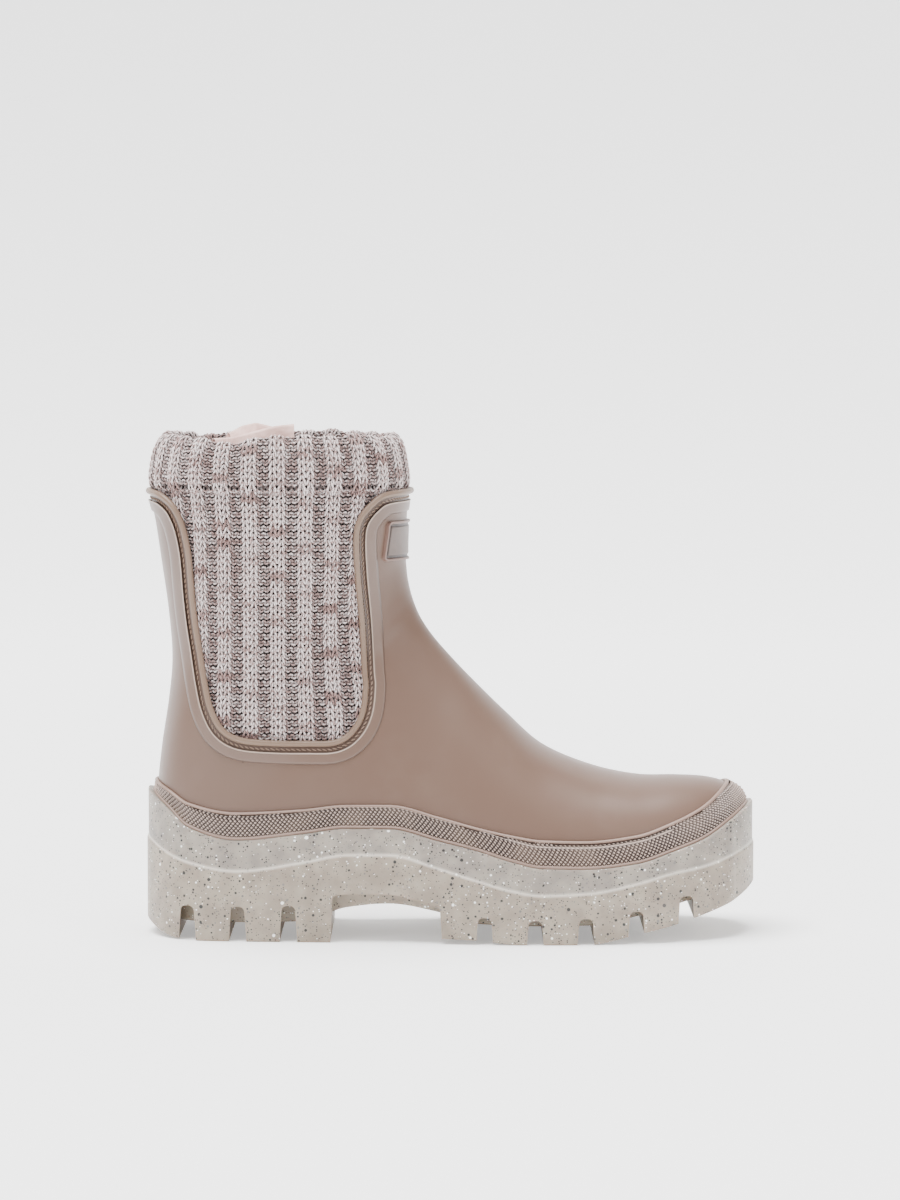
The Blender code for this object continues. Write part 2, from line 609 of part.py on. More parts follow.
def make_piping(parts):
    """Build the round bead along the whole collar line."""
    curve = collar_curve(PIPING_DIAMETER / 2.0, FINE_CURVE_POINTS)
    offset = 0.0
    lateral = surface_points(curve, -1, offset)
    medial = surface_points(curve, 1, offset)
    loop = even(lateral + medial[::-1] + lateral[:1], PIPING_POINTS + 1)[:-1]
    path = bpy.data.curves.new("collar_piping", "CURVE")
    path.dimensions = "3D"
    path.bevel_depth = PIPING_DIAMETER / 2.0
    path.bevel_resolution = 1
    spline = path.splines.new("POLY")
    spline.points.add(len(loop) - 1)
    for point, (x, y, z) in zip(spline.points, loop):
        point.co = (x, y, z, 1.0)
    spline.use_cyclic_u = True
    source = bpy.data.objects.new("piping_path", path)
    parts.objects.link(source)
    graph = bpy.context.evaluated_depsgraph_get()
    mesh = bpy.data.meshes.new_from_object(source.evaluated_get(graph))
    data = bmesh.new()
    data.from_mesh(mesh)
    bmesh.ops.remove_doubles(data, verts=data.verts, dist=1e-6)
    bpy.data.objects.remove(source)
    return new_object("collar_piping", data, parts, PIPING_RUBBER)


def make_badge(parts, cutters):
    """Build the blank patch that wraps round the front of the shaft."""
    badge = form("badge", FIT_GAP + BADGE_WALL, parts, BADGE_RUBBER)
    data = bmesh.new()
    bmesh.ops.create_cube(data, size=1.0)
    depth = 2.0 * BADGE_REACH
    bmesh.ops.scale(data, verts=data.verts, vec=(depth, BADGE_WIDTH, BADGE_HEIGHT))
    front = SECTIONS[LIP_ROW][2]
    middle = LIP_HEIGHT - BADGE_DROP
    bmesh.ops.translate(data, verts=data.verts, vec=(front, 0.0, middle))
    corners = [e for e in data.edges
               if abs(e.verts[0].co.x - e.verts[1].co.x) > depth / 2.0]
    bmesh.ops.bevel(data, geom=corners, offset=BADGE_CORNER, segments=3, profile=0.5,
                    affect="EDGES")
    boolean(badge, new_object("badge_frame", data, cutters), "INTERSECT")
    return boolean(badge, form("badge_inside", FIT_GAP, cutters), "DIFFERENCE")


def make_collection(name):
    """Add a collection to the scene."""
    collection = bpy.data.collections.new(name)
    bpy.context.scene.collection.children.link(collection)
    return collection


def main():
    """Clear the scene and build every piece."""
    for obj in list(bpy.data.objects):
        bpy.data.objects.remove(obj)
    parts = make_collection("rubber_boot")
    cutters = make_collection("cutters")
    make_outsole(parts, cutters)
    make_rand(parts, cutters)
    make_upper(parts, cutters)
    make_piping(parts)
    make_liner(parts, cutters)
    make_cuff(parts)
    make_insole(parts, cutters)
    make_badge(parts, cutters)


main()
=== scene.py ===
"""Looks for a right rubber boot with a marled rib-knit collar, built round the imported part."""
import logging
import math
from dataclasses import dataclass, field
from enum import Enum
from typing import Any, Callable, Sequence, Union

import bmesh
import bpy
import numpy as np
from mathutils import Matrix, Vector


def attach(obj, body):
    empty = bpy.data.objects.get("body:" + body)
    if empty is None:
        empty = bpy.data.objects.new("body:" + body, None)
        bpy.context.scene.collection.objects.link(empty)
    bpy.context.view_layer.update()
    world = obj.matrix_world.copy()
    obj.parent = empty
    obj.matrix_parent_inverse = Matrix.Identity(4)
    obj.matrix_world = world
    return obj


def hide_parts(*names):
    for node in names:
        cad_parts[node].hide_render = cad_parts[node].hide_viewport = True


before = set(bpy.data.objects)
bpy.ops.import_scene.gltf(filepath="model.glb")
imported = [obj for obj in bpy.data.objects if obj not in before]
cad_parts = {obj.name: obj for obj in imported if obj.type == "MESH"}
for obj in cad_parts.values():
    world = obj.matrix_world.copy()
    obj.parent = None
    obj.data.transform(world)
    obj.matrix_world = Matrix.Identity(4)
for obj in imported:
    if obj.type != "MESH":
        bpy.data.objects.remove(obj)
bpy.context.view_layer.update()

TAU = 2.0 * math.pi
Colour = tuple[float, float, float, float]
log = logging.getLogger("rubber_boot")


class Side(Enum):
    """The two sides of the boot, as signs of Y."""

    OUTER = -1
    INNER = 1


def srgb(red: float, green: float, blue: float) -> Colour:
    """Turn an 8-bit screen colour into a linear one.

    Args:
        red: Red from 0 to 255.
        green: Green from 0 to 255.
        blue: Blue from 0 to 255.

    Returns:
        The linear colour with full alpha.
    """
    linear = [c / 3294.6 if c <= 10.3 else ((c / 255.0 + 0.055) / 1.055) ** 2.4
              for c in (red, green, blue)]
    return (linear[0], linear[1], linear[2], 1.0)


def smoothstep(low: float, high: float, value: np.ndarray) -> np.ndarray:
    """Return a soft step from 0 at low to 1 at high."""
    share = np.clip((value - low) / (high - low), 0.0, 1.0)
    return share * share * (3.0 - 2.0 * share)


def rounded_table(rows: np.ndarray, place: np.ndarray) -> np.ndarray:
    """Read equally spaced rows, with one spare row at each end, as a Catmull-Rom curve.

    Args:
        rows: The table, padded by one row before and one after.
        place: Fractional row numbers, counted without the padding.

    Returns:
        One row of values for each place.
    """
    index = np.clip(place.astype(int), 0, len(rows) - 4)
    u = (place - index)[..., None]
    p0, p1, p2, p3 = (rows[index + k] for k in range(4))
    return 0.5 * (2.0 * p1 + (p2 - p0) * u + (2.0 * p0 - 5.0 * p1 + 4.0 * p2 - p3) * u * u
                  + (3.0 * p1 - p0 - 3.0 * p2 + p3) * u ** 3)


def even(points: np.ndarray, count: int) -> np.ndarray:
    """Space points evenly along an open polyline.

    Args:
        points: The polyline's points.
        count: How many points to return.

    Returns:
        The evenly spaced points, both ends included.
    """
    reach = np.concatenate([[0.0], np.cumsum(np.linalg.norm(np.diff(points, axis=0), axis=1))])
    marks = np.linspace(0.0, reach[-1], count)
    return np.column_stack([np.interp(marks, reach, column) for column in points.T])


@dataclass(frozen=True)
class BootForm:
    """The boot's outer form, the same as in the part: a fan of sections from toe to cuff.

    All of its lengths count from the back of the heel, and shift moves them to the frame.
    """

    sole_length: float = 0.280
    ball_width: float = 0.0960
    heel_width: float = 0.0720
    collar_width: float = 0.0970
    toe_height: float = 0.0715
    instep_height: float = 0.1353
    lip_height: float = 0.2050
    form_base: float = 0.0120
    sole_rise: float = 0.0677
    opening_depth: float = 0.1139
    tuck: float = 0.0050
    last: int = 25
    shaft_row: int = 17
    instep_row: int = 10
    place_step: float = 0.02
    bisections: int = 26

    @property
    def shift(self) -> float:
        """Return how far the frame's origin is from the back of the heel."""
        return self.sole_length / 2.0

    def _sections(self) -> np.ndarray:
        """Return the padded table of sections in metres."""
        x, z, b, h = self.sole_length, self.lip_height, self.ball_width, self.heel_width
        c, t, n, f = self.collar_width, self.toe_height, self.instep_height, self.form_base
        v, s = n - t, z - n
        rows = np.array([
            (0.984 * x, 1.70 * f, 0.984 * x, 0.820 * t, -0.074 * b, 0.074 * b, 0.50, 2.0, 2.0),
            (0.981 * x, 1.45 * f, 0.981 * x, 0.872 * t, 0.042 * b, 0.190 * b, 0.46, 2.2, 2.1),
            (0.969 * x, 1.20 * f, 0.969 * x, 0.920 * t, 0.148 * b, 0.285 * b, 0.43, 2.4, 2.2),
            (0.948 * x, 1.05 * f, 0.948 * x, 0.962 * t, 0.243 * b, 0.360 * b, 0.41, 2.5, 2.3),
            (0.916 * x, f, 0.916 * x, 0.990 * t, 0.320 * b, 0.415 * b, 0.40, 2.6, 2.3),
            (0.870 * x, f, 0.870 * x, 1.000 * t, 0.388 * b, 0.452 * b, 0.39, 2.6, 2.3),
            (0.806 * x, f, 0.806 * x, 1.006 * t, 0.447 * b, 0.482 * b, 0.38, 2.6, 2.3),
            (0.730 * x, f, 0.730 * x, 1.072 * t, 0.487 * b, 0.500 * b, 0.36, 2.6, 2.2),
            (0.650 * x, f, 0.650 * x, t + 0.235 * v, 0.500 * b, 0.488 * b, 0.34, 2.6, 2.1),
            (0.575 * x, f, 0.590 * x, t + 0.470 * v, 0.490 * b, 0.446 * b, 0.32, 2.6, 2.0),
            (0.490 * x, f, 0.533 * x, t + 0.718 * v, 0.462 * b, 0.395 * b, 0.31, 2.6, 1.95),
            (0.380 * x, f, 0.497 * x, t + 0.885 * v, 0.424 * b, 0.358 * b, 0.31, 2.6, 1.9),
            (0.250 * x, 1.05 * f, 0.470 * x, n + 0.020 * s, 0.397 * b, 0.350 * b, 0.32, 2.5, 1.9),
            (0.115 * x, 1.25 * f, 0.451 * x, n + 0.132 * s, 0.388 * b, 0.366 * b, 0.33, 2.4, 1.9),
            (0.032 * x, 1.85 * f, 0.440 * x, n + 0.229 * s, 0.505 * h, 0.498 * h, 0.34, 2.3, 1.9),
            (0.0164 * x, 0.270 * z, 0.4330 * x, n + 0.320 * s, 0.508 * h, 0.505 * h, 0.35, 2.1, 1.95),
            (0.0180 * x, 0.345 * z, 0.4285 * x, n + 0.412 * s, 0.518 * h, 0.518 * h, 0.37, 2.1, 2.0),
            (0.0246 * x, 0.428 * z, 0.4262 * x, n + 0.509 * s, 0.402 * c, 0.402 * c, 0.40, 2.1, 2.0),
            (0.0360 * x, 0.530 * z, 0.4258 * x, n + 0.594 * s, 0.418 * c, 0.418 * c, 0.43, 2.1, 2.05),
            (0.0415 * x, 0.620 * z, 0.4262 * x, n + 0.670 * s, 0.436 * c, 0.436 * c, 0.46, 2.1, 2.05),
            (0.0360 * x, 0.723 * z, 0.4270 * x, n + 0.750 * s, 0.458 * c, 0.458 * c, 0.48, 2.1, 2.1),
            (0.0254 * x, 0.828 * z, 0.4280 * x, n + 0.832 * s, 0.478 * c, 0.478 * c, 0.49, 2.1, 2.1),
            (0.0146 * x, 0.927 * z, 0.4305 * x, n + 0.918 * s, 0.492 * c, 0.492 * c, 0.50, 2.1, 2.1),
            (0.0035 * x, z, 0.4345 * x, z, 0.500 * c, 0.500 * c, 0.50, 2.1, 2.1),
            (0.0100 * x, 1.070 * z, 0.4270 * x, 1.068 * z, 0.494 * c, 0.494 * c, 0.50, 2.1, 2.1),
            (0.0210 * x, 1.135 * z, 0.4190 * x, 1.135 * z, 0.484 * c, 0.484 * c, 0.50, 2.1, 2.1),
        ])
        before = 2.0 * rows[0] - rows[1]
        before[0], before[2] = rows[1][0], rows[1][2]
        before[4], before[5] = -rows[1][5], -rows[1][4]
        return np.vstack([before, rows, 2.0 * rows[-1] - rows[-2]])

    def section(self, place: np.ndarray, offset: Union[float, np.ndarray]) -> np.ndarray:
        """Return sections moved outwards from the shell's surface.

        Args:
            place: Fractional section numbers, from 0 at the toe to last above the cuff.
            offset: How far out, in metres, one for all or one for each place.

        Returns:
            One row of nine section values for each place.
        """
        table = self._sections()
        place = np.asarray(place, dtype=float)
        row = rounded_table(table, place)
        step = (rounded_table(table, np.minimum(place + self.place_step, self.last))
                - rounded_table(table, np.maximum(place - self.place_step, 0.0)))
        at_tip = place <= self.place_step
        step[at_tip, 0] = 0.0
        step[at_tip, 2] = 0.0
        back = np.stack([-step[..., 1], step[..., 0]], axis=-1)
        front = np.stack([step[..., 3], -step[..., 2]], axis=-1)
        reach = np.broadcast_to(np.asarray(offset, dtype=float), place.shape)[..., None]
        row[..., 0:2] += reach * back / np.linalg.norm(back, axis=-1, keepdims=True)
        row[..., 2:4] += reach * front / np.linalg.norm(front, axis=-1, keepdims=True)
        row[..., 4:6] += reach
        return row

    def point(self, place: np.ndarray, angle: np.ndarray,
              offset: Union[float, np.ndarray]) -> np.ndarray:
        """Return points of the form.

        Args:
            place: Fractional section numbers.
            angle: Angles from each section's back over the outer side to its front.
            offset: How far out from the shell's surface.

        Returns:
            The points, in the part's own frame.
        """
        row = self.section(place, offset)
        turn = np.asarray(angle) % TAU
        outer = turn <= math.pi
        half_turn = np.where(outer, turn, TAU - turn)
        cosine, sine = np.cos(half_turn), np.maximum(np.sin(half_turn), 0.0)
        widest = row[..., 6]
        power = np.where(cosine > 0.0, row[..., 7], row[..., 8])
        reach = np.abs(cosine) ** (2.0 / power)
        share = np.where(cosine > 0.0, widest * (1.0 - reach), widest + (1.0 - widest) * reach)
        centre = (row[..., 5] - row[..., 4]) / 2.0
        half = (row[..., 5] + row[..., 4]) / 2.0
        y = centre + np.where(outer, -half, half) * sine ** (2.0 / power)
        x = row[..., 0] + (row[..., 2] - row[..., 0]) * share - self.shift
        z = row[..., 1] + (row[..., 3] - row[..., 1]) * share
        return np.stack([x, y, z], axis=-1)

    def lift(self, x: np.ndarray, z: np.ndarray, side: Union[int, np.ndarray],
             offset: Union[float, np.ndarray], first: float = 9.0) -> np.ndarray:
        """Lift points of the side view onto the form.

        Args:
            x: Lengths from the back of the heel.
            z: Heights.
            side: -1 for the outer side, 1 for the inner side.
            offset: How far out from the shell's surface.
            first: The section nearest the toe that the points may lie on.

        Returns:
            The points in the part's own frame; beyond the profile they lie on its edge.
        """
        low = np.full(x.shape, first)
        high = np.full(x.shape, float(self.last))
        for _ in range(self.bisections):
            middle = (low + high) / 2.0
            row = self.section(middle, offset)
            across = ((row[..., 2] - row[..., 0]) * (z - row[..., 1])
                      - (row[..., 3] - row[..., 1]) * (x - row[..., 0]))
            low, high = np.where(across > 0.0, middle, low), np.where(across > 0.0, high, middle)
        row = self.section(high, offset)
        share = np.clip((x - row[..., 0]) / (row[..., 2] - row[..., 0]), 0.0, 1.0)
        widest = row[..., 6]
        power = np.where(share < widest, row[..., 7], row[..., 8])
        run = np.where(share < widest, (widest - share) / widest,
                       (share - widest) / (1.0 - widest))
        reach = np.maximum(1.0 - run ** power, 0.0) ** (1.0 / power)
        centre = (row[..., 5] - row[..., 4]) / 2.0
        half = (row[..., 5] + row[..., 4]) / 2.0
        x_on = row[..., 0] + (row[..., 2] - row[..., 0]) * share
        return np.stack([x_on - self.shift, centre + side * half * reach, z + 0.0 * x_on], axis=-1)

    def collar_curve(self, shift: float, count: int) -> np.ndarray:
        """Return the collar line in the side view, moved from the knit towards the shell.

        Args:
            shift: How far to move it, in metres.
            count: How many points to return.

        Returns:
            Points of length from the heel and height, from the back lip to the front lip.
        """
        rows = np.array([
            (0.0000, 0.000), (0.0280, 0.013), (0.0511, 0.054), (0.0657, 0.114), (0.0739, 0.175),
            (0.0807, 0.268), (0.0854, 0.421), (0.0904, 0.535), (0.0979, 0.652), (0.1054, 0.765),
            (0.1150, 0.866), (0.1320, 0.945), (0.1600, 0.984), (0.2100, 0.997), (0.2700, 1.000),
            (0.3120, 0.995), (0.3370, 0.955), (0.3520, 0.885), (0.3565, 0.790), (0.3546, 0.728),
            (0.3504, 0.535), (0.3440, 0.345), (0.3421, 0.192), (0.3486, 0.114), (0.3686, 0.050),
            (0.3932, 0.012), (0.4400, 0.000),
        ])
        padded = np.vstack([2.0 * rows[0] - rows[1], rows, 2.0 * rows[-1] - rows[-2]])
        read = rounded_table(padded, np.linspace(0.0, len(rows) - 1.0, 12 * len(rows)))
        points = np.column_stack([read[:, 0] * self.sole_length,
                                  self.lip_height - read[:, 1] * self.opening_depth])
        points = even(points, count)
        tangent = np.gradient(points, axis=0)
        normal = np.column_stack([tangent[:, 1], -tangent[:, 0]])
        return points + shift * normal / np.linalg.norm(normal, axis=1)[:, None]

    def line(self, name: str, x: np.ndarray) -> np.ndarray:
        """Return the height of one of the sole's lines.

        Args:
            name: Which line: ground, body, notch, step, rim, rand or floor.
            x: Lengths from the back of the heel.

        Returns:
            A height for each length.
        """
        rows = np.array([
            (0.000, 0.096, 0.207, 0.251, 0.653, 1.000, 1.066, 0.473),
            (0.040, 0.018, 0.133, 0.240, 0.560, 0.874, 0.990, 0.465),
            (0.072, 0.000, 0.114, 0.236, 0.512, 0.760, 0.915, 0.458),
            (0.150, 0.000, 0.114, 0.236, 0.459, 0.679, 0.860, 0.443),
            (0.260, 0.000, 0.126, 0.251, 0.521, 0.725, 0.882, 0.443),
            (0.330, 0.000, 0.222, 0.326, 0.574, 0.762, 0.912, 0.443),
            (0.400, 0.010, 0.251, 0.328, 0.577, 0.762, 0.914, 0.428),
            (0.480, 0.035, 0.200, 0.245, 0.490, 0.686, 0.840, 0.384),
            (0.540, 0.027, 0.126, 0.189, 0.414, 0.626, 0.774, 0.347),
            (0.600, 0.003, 0.114, 0.170, 0.345, 0.550, 0.720, 0.303),
            (0.645, 0.000, 0.111, 0.164, 0.316, 0.510, 0.691, 0.281),
            (0.720, 0.000, 0.115, 0.178, 0.328, 0.503, 0.682, 0.281),
            (0.800, 0.062, 0.170, 0.220, 0.388, 0.534, 0.713, 0.303),
            (0.860, 0.116, 0.235, 0.285, 0.452, 0.608, 0.790, 0.347),
            (0.910, 0.177, 0.290, 0.345, 0.487, 0.680, 0.880, 0.399),
            (0.960, 0.248, 0.350, 0.400, 0.549, 0.800, 1.030, 0.465),
            (1.000, 0.335, 0.430, 0.470, 0.607, 0.897, 1.160, 0.532),
        ])
        column = ("along", "ground", "body", "notch", "step", "rim", "rand", "floor").index(name)
        xs, ys = rows[:, 0] * self.sole_length, rows[:, column] * self.sole_rise
        steps = np.diff(xs)
        slopes = np.diff(ys) / steps
        tangents = np.zeros(len(xs))
        tangents[0], tangents[-1] = slopes[0], slopes[-1]
        same = slopes[:-1] * slopes[1:] > 0.0
        tangents[1:-1][same] = 2.0 / (1.0 / slopes[:-1][same] + 1.0 / slopes[1:][same])
        x = np.clip(np.asarray(x, dtype=float), xs[0], xs[-1])
        k = np.clip(np.searchsorted(xs, x, side="right") - 1, 0, len(xs) - 2)
        u = (x - xs[k]) / steps[k]
        return ((1 + 2 * u) * (1 - u) ** 2 * ys[k] + u * (1 - u) ** 2 * steps[k] * tangents[k]
                + u * u * (3 - 2 * u) * ys[k + 1] - u * u * (1 - u) * steps[k] * tangents[k + 1])

    def _trace_side(self, side: int) -> np.ndarray:
        """Trace the form at the cup's rim in plan, on one side, from heel to toe."""
        low, high = float(self.shaft_row), float(self.instep_row)
        for _ in range(self.bisections):
            middle = (low + high) / 2.0
            row = self.section(np.array([middle]), 0.0)[0]
            over = row[1] > self.line("rim", row[0]) - self.tuck
            low, high = (middle, high) if over else (low, middle)
        heel = low - (low - 12.0) * np.linspace(0.0, 1.0, 120) ** 2
        place = np.concatenate([heel, np.linspace(12.0, 0.0, 260)[1:]])
        foot = np.zeros(place.shape)
        top = np.where(place > 3.0, math.pi / 2.0, math.pi)
        for _ in range(self.bisections):
            middle = (foot + top) / 2.0
            found = self.point(place, -side * middle, 0.0)
            below = found[:, 2] < self.line("rim", found[:, 0] + self.shift) - self.tuck
            foot, top = np.where(below, middle, foot), np.where(below, top, middle)
        return self.point(place, -side * foot, 0.0)[:, :2] + np.array([self.shift, 0.0])

    def plan_outline(self, offsets: Sequence[float], count: int) -> np.ndarray:
        """Return the sole's outline in plan, moved outwards.

        Args:
            offsets: How far out each copy of the outline is.
            count: Points on each side of the boot.

        Returns:
            One closed loop of length and side position for each offset.
        """
        outer = even(self._trace_side(-1), count)
        inner = even(self._trace_side(1), count)
        loop = np.vstack([outer, inner[-2:0:-1]])
        tangent = np.roll(loop, -1, axis=0) - np.roll(loop, 1, axis=0)
        normal = np.column_stack([tangent[:, 1], -tangent[:, 0]])
        normal /= np.linalg.norm(normal, axis=1)[:, None]
        return np.stack([loop + offset * normal for offset in offsets])


FORM = BootForm()


class Wire:
    """A node's output socket with arithmetic: each operator adds the Math node that does it."""

    def __init__(self, tree: bpy.types.NodeTree, socket: bpy.types.NodeSocket) -> None:
        """Keep the socket and the tree that it is in."""
        self.tree = tree
        self.socket = socket

    def maths(self, operation: str, *values: Union["Wire", float]) -> "Wire":
        """Add a Math node.

        Args:
            operation: The node's operation.
            values: Its inputs, wires or numbers.

        Returns:
            The node's result.
        """
        node = self.tree.nodes.new("ShaderNodeMath")
        node.operation = operation
        for socket, value in zip(node.inputs, values):
            if isinstance(value, Wire):
                self.tree.links.new(value.socket, socket)
            else:
                socket.default_value = value
        return Wire(self.tree, node.outputs[0])

    def __add__(self, other: Union["Wire", float]) -> "Wire":
        """Return self + other."""
        return self.maths("ADD", self, other)

    def __radd__(self, other: float) -> "Wire":
        """Return other + self."""
        return self.maths("ADD", other, self)

    def __sub__(self, other: Union["Wire", float]) -> "Wire":
        """Return self - other."""
        return self.maths("SUBTRACT", self, other)

    def __rsub__(self, other: float) -> "Wire":
        """Return other - self."""
        return self.maths("SUBTRACT", other, self)

    def __mul__(self, other: Union["Wire", float]) -> "Wire":
        """Return self * other."""
        return self.maths("MULTIPLY", self, other)

    def __rmul__(self, other: float) -> "Wire":
        """Return other * self."""
        return self.maths("MULTIPLY", other, self)

    def __gt__(self, other: Union["Wire", float]) -> "Wire":
        """Return 1 where self is above other, and 0 elsewhere."""
        return self.maths("GREATER_THAN", self, other)

    def __lt__(self, other: Union["Wire", float]) -> "Wire":
        """Return 1 where self is below other, and 0 elsewhere."""
        return self.maths("LESS_THAN", self, other)

    def __pow__(self, other: Union["Wire", float]) -> "Wire":
        """Return self to the power other."""
        return self.maths("POWER", self, other)

    def fraction(self) -> "Wire":
        """Return the part after the decimal point."""
        return self.maths("FRACT", self)

    def sine(self) -> "Wire":
        """Return the sine of self."""
        return self.maths("SINE", self)

    def step(self, low: float, high: float) -> "Wire":
        """Return a soft step from 0 at low to 1 at high."""
        node = self.tree.nodes.new("ShaderNodeMapRange")
        node.interpolation_type = "SMOOTHSTEP"
        self.tree.links.new(self.socket, node.inputs["Value"])
        node.inputs["From Min"].default_value = low
        node.inputs["From Max"].default_value = high
        return Wire(self.tree, node.outputs["Result"])


class Shader:
    """One material being wired up from its Principled node."""

    def __init__(self, name: str, roughness: float, **constants: Any) -> None:
        """Start a material.

        Args:
            name: The material's name.
            roughness: The roughness, where nothing varies it.
            constants: Other constants of the Principled node, with underscores for spaces.
        """
        self.material = bpy.data.materials.new(name)
        self.material.use_nodes = True
        self.tree = self.material.node_tree
        self.surface = self.tree.nodes["Principled BSDF"]
        self.surface.inputs["Roughness"].default_value = roughness
        for key, value in constants.items():
            self.surface.inputs[key.replace("_", " ")].default_value = value

    def node(self, kind: str, settings: dict[str, Any], inputs: dict[Any, Any],
             output: Union[int, str] = 0) -> Wire:
        """Add any node but a Math node.

        Args:
            kind: The node's type, without ShaderNode.
            settings: Its settings, set first; stops is a list for a colour ramp.
            inputs: Values or wires for its sockets, by name or number.
            output: Which of its outputs to return.

        Returns:
            The chosen output.
        """
        node = self.tree.nodes.new("ShaderNode" + kind)
        for key, value in settings.items():
            if key == "stops":
                while len(node.color_ramp.elements) < len(value):
                    node.color_ramp.elements.new(1.0)
                for element, (position, colour) in zip(node.color_ramp.elements, value):
                    element.position = position
                    element.color = colour
            else:
                setattr(node, key, value)
        for key, value in inputs.items():
            if isinstance(value, Wire):
                self.tree.links.new(value.socket, node.inputs[key])
            else:
                node.inputs[key].default_value = value
        return Wire(self.tree, node.outputs[output])

    def place(self) -> Wire:
        """Return Object coordinates, in metres in the part's frame."""
        return self.node("TexCoord", {}, {}, "Object")

    def stored(self, name: str, output: str = "Fac") -> Wire:
        """Return one of the piece's own attributes."""
        return self.node("Attribute", {"attribute_name": name}, {}, output)

    def noise(self, scale: float, detail: float = 3.0, at: Union[Wire, None] = None) -> Wire:
        """Return noise from 0 to 1.

        Args:
            scale: Features to a metre.
            detail: Octaves.
            at: Coordinates, or None for Object coordinates.

        Returns:
            The noise.
        """
        return self.node("TexNoise", {}, {"Vector": at or self.place(), "Scale": scale,
                                          "Detail": detail})

    def mix(self, share: Union[Wire, float], first: Union[Wire, Colour],
            second: Union[Wire, Colour], blend: str = "MIX") -> Wire:
        """Mix two colours.

        Args:
            share: How much of the second.
            first: The first colour.
            second: The second colour.
            blend: How they mix.

        Returns:
            The mixed colour.
        """
        return self.node("Mix", {"data_type": "RGBA", "blend_type": blend},
                         {0: share, 6: first, 7: second}, 2)

    def bump(self, height: Wire, distance: float, strength: float = 1.0,
             under: Union[Wire, None] = None) -> Wire:
        """Add a Bump node.

        Args:
            height: The height from 0 to 1.
            distance: What 1 is, in metres.
            strength: How strongly it shows.
            under: A bump that this one lies on.

        Returns:
            The bent normal.
        """
        inputs: dict[Any, Any] = {"Height": height, "Distance": distance, "Strength": strength}
        if under is not None:
            inputs["Normal"] = under
        return self.node("Bump", {}, inputs)

    def feed(self, **links: Union[Wire, Colour]) -> bpy.types.Material:
        """Join wires to the Principled node's sockets and return the material."""
        for key, value in links.items():
            socket = self.surface.inputs[key.replace("_", " ")]
            if isinstance(value, Wire):
                self.tree.links.new(value.socket, socket)
            else:
                socket.default_value = value
        return self.material


@dataclass(frozen=True)
class MouldedRubber:
    """Satin injection-moulded rubber with a fine skin and faint handling marks."""

    name: str
    colour: Colour
    light: Colour
    roughness: float = 0.40
    coat: float = 0.10
    skin: float = 0.000012

    def material(self) -> bpy.types.Material:
        """Wire the material: cloudy tone, uneven gloss, pores and soft waves."""
        shader = Shader(self.name, self.roughness, Coat_Weight=self.coat, Coat_Roughness=0.28,
                        Specular_IOR_Level=0.30)
        clouds = shader.noise(26.0, 4.0)
        grain = shader.noise(2600.0, 2.0)
        waves = shader.noise(38.0, 1.0)
        smears = shader.noise(90.0, 5.0)
        dust = (clouds - 0.42).step(0.0, 0.30) * smears.step(0.35, 0.75)
        tone = shader.mix(dust * 0.35, self.colour, self.light)
        gloss = self.roughness + (smears - 0.5) * 0.10 + (grain - 0.5) * 0.05
        soft = shader.bump(waves, 0.0005)
        return shader.feed(Base_Color=tone, Roughness=gloss,
                           Normal=shader.bump(grain, self.skin, 1.0, soft))


@dataclass(frozen=True)
class SpeckledRubber:
    """Pale rubber ground with dark and white granules, greyer on the upper tier."""

    name: str = "speckled sole rubber"
    upper: Colour = srgb(126, 118, 110)
    lower: Colour = srgb(132, 120, 106)
    pad: Colour = srgb(150, 130, 108)
    black: Colour = srgb(38, 36, 36)
    grey: Colour = srgb(112, 108, 104)
    white: Colour = srgb(240, 240, 236)

    def _granules(self, shader: Shader, ground: Wire, scale: float, kept: float,
                  size: float) -> Wire:
        """Scatter one size of granules over a colour.

        Args:
            shader: The material.
            ground: The colour so far.
            scale: Cells to a metre.
            kept: The share of cells that hold a granule.
            size: The largest granule's radius as a share of a cell.

        Returns:
            The colour with granules.
        """
        where = shader.place()
        warp = shader.noise(scale * 2.2, 2.0, where)
        cell = {"Vector": where, "Scale": scale, "Randomness": 1.0}
        distance = shader.node("TexVoronoi", {}, cell, "Distance")
        chance = shader.node("TexVoronoi", {}, cell, "Color")
        parts = [shader.node("SeparateColor", {}, {0: chance}, k) for k in range(3)]
        reach = size * (0.35 + 0.65 * parts[1]) * (0.7 + 0.6 * warp)
        spot = (reach - distance).step(-0.02, 0.03) * (parts[0] < kept)
        dark = shader.mix(parts[2].step(0.60, 0.75), self.black, self.grey)
        tint = shader.mix(parts[2] > 0.82, dark, self.white)
        return shader.mix(spot, ground, tint)

    def material(self) -> bpy.types.Material:
        """Wire the material: tiers, cloudy depth, three sizes of granules, a painted highlight along
        the step's ledge and brown feet.
        """
        shader = Shader(self.name, 0.45, Coat_Weight=0.06, Coat_Roughness=0.3,
                        Subsurface_Weight=0.12, Subsurface_Scale=0.004)
        clouds = shader.noise(120.0, 4.0)
        ground = shader.mix(shader.stored("tier"), self.lower, self.upper)
        milky = shader.mix(clouds.step(0.30, 0.75) * 0.22, ground, srgb(214, 204, 184))
        tone = self._granules(shader, milky, 1050.0, 0.50, 0.36)
        tone = self._granules(shader, tone, 560.0, 0.50, 0.33)
        tone = self._granules(shader, tone, 270.0, 0.40, 0.24)
        # painted highlight: a near-white line along the upward-facing ledge of the step
        tone = shader.mix(shader.stored("ledge") * 0.8, tone, srgb(236, 228, 216))
        tone = shader.mix(shader.stored("foot"), tone, self.pad)
        fine = shader.noise(1500.0, 3.0)
        return shader.feed(Base_Color=tone, Roughness=0.38 + 0.22 * clouds,
                           Normal=shader.bump(fine, 0.00004, 0.6))


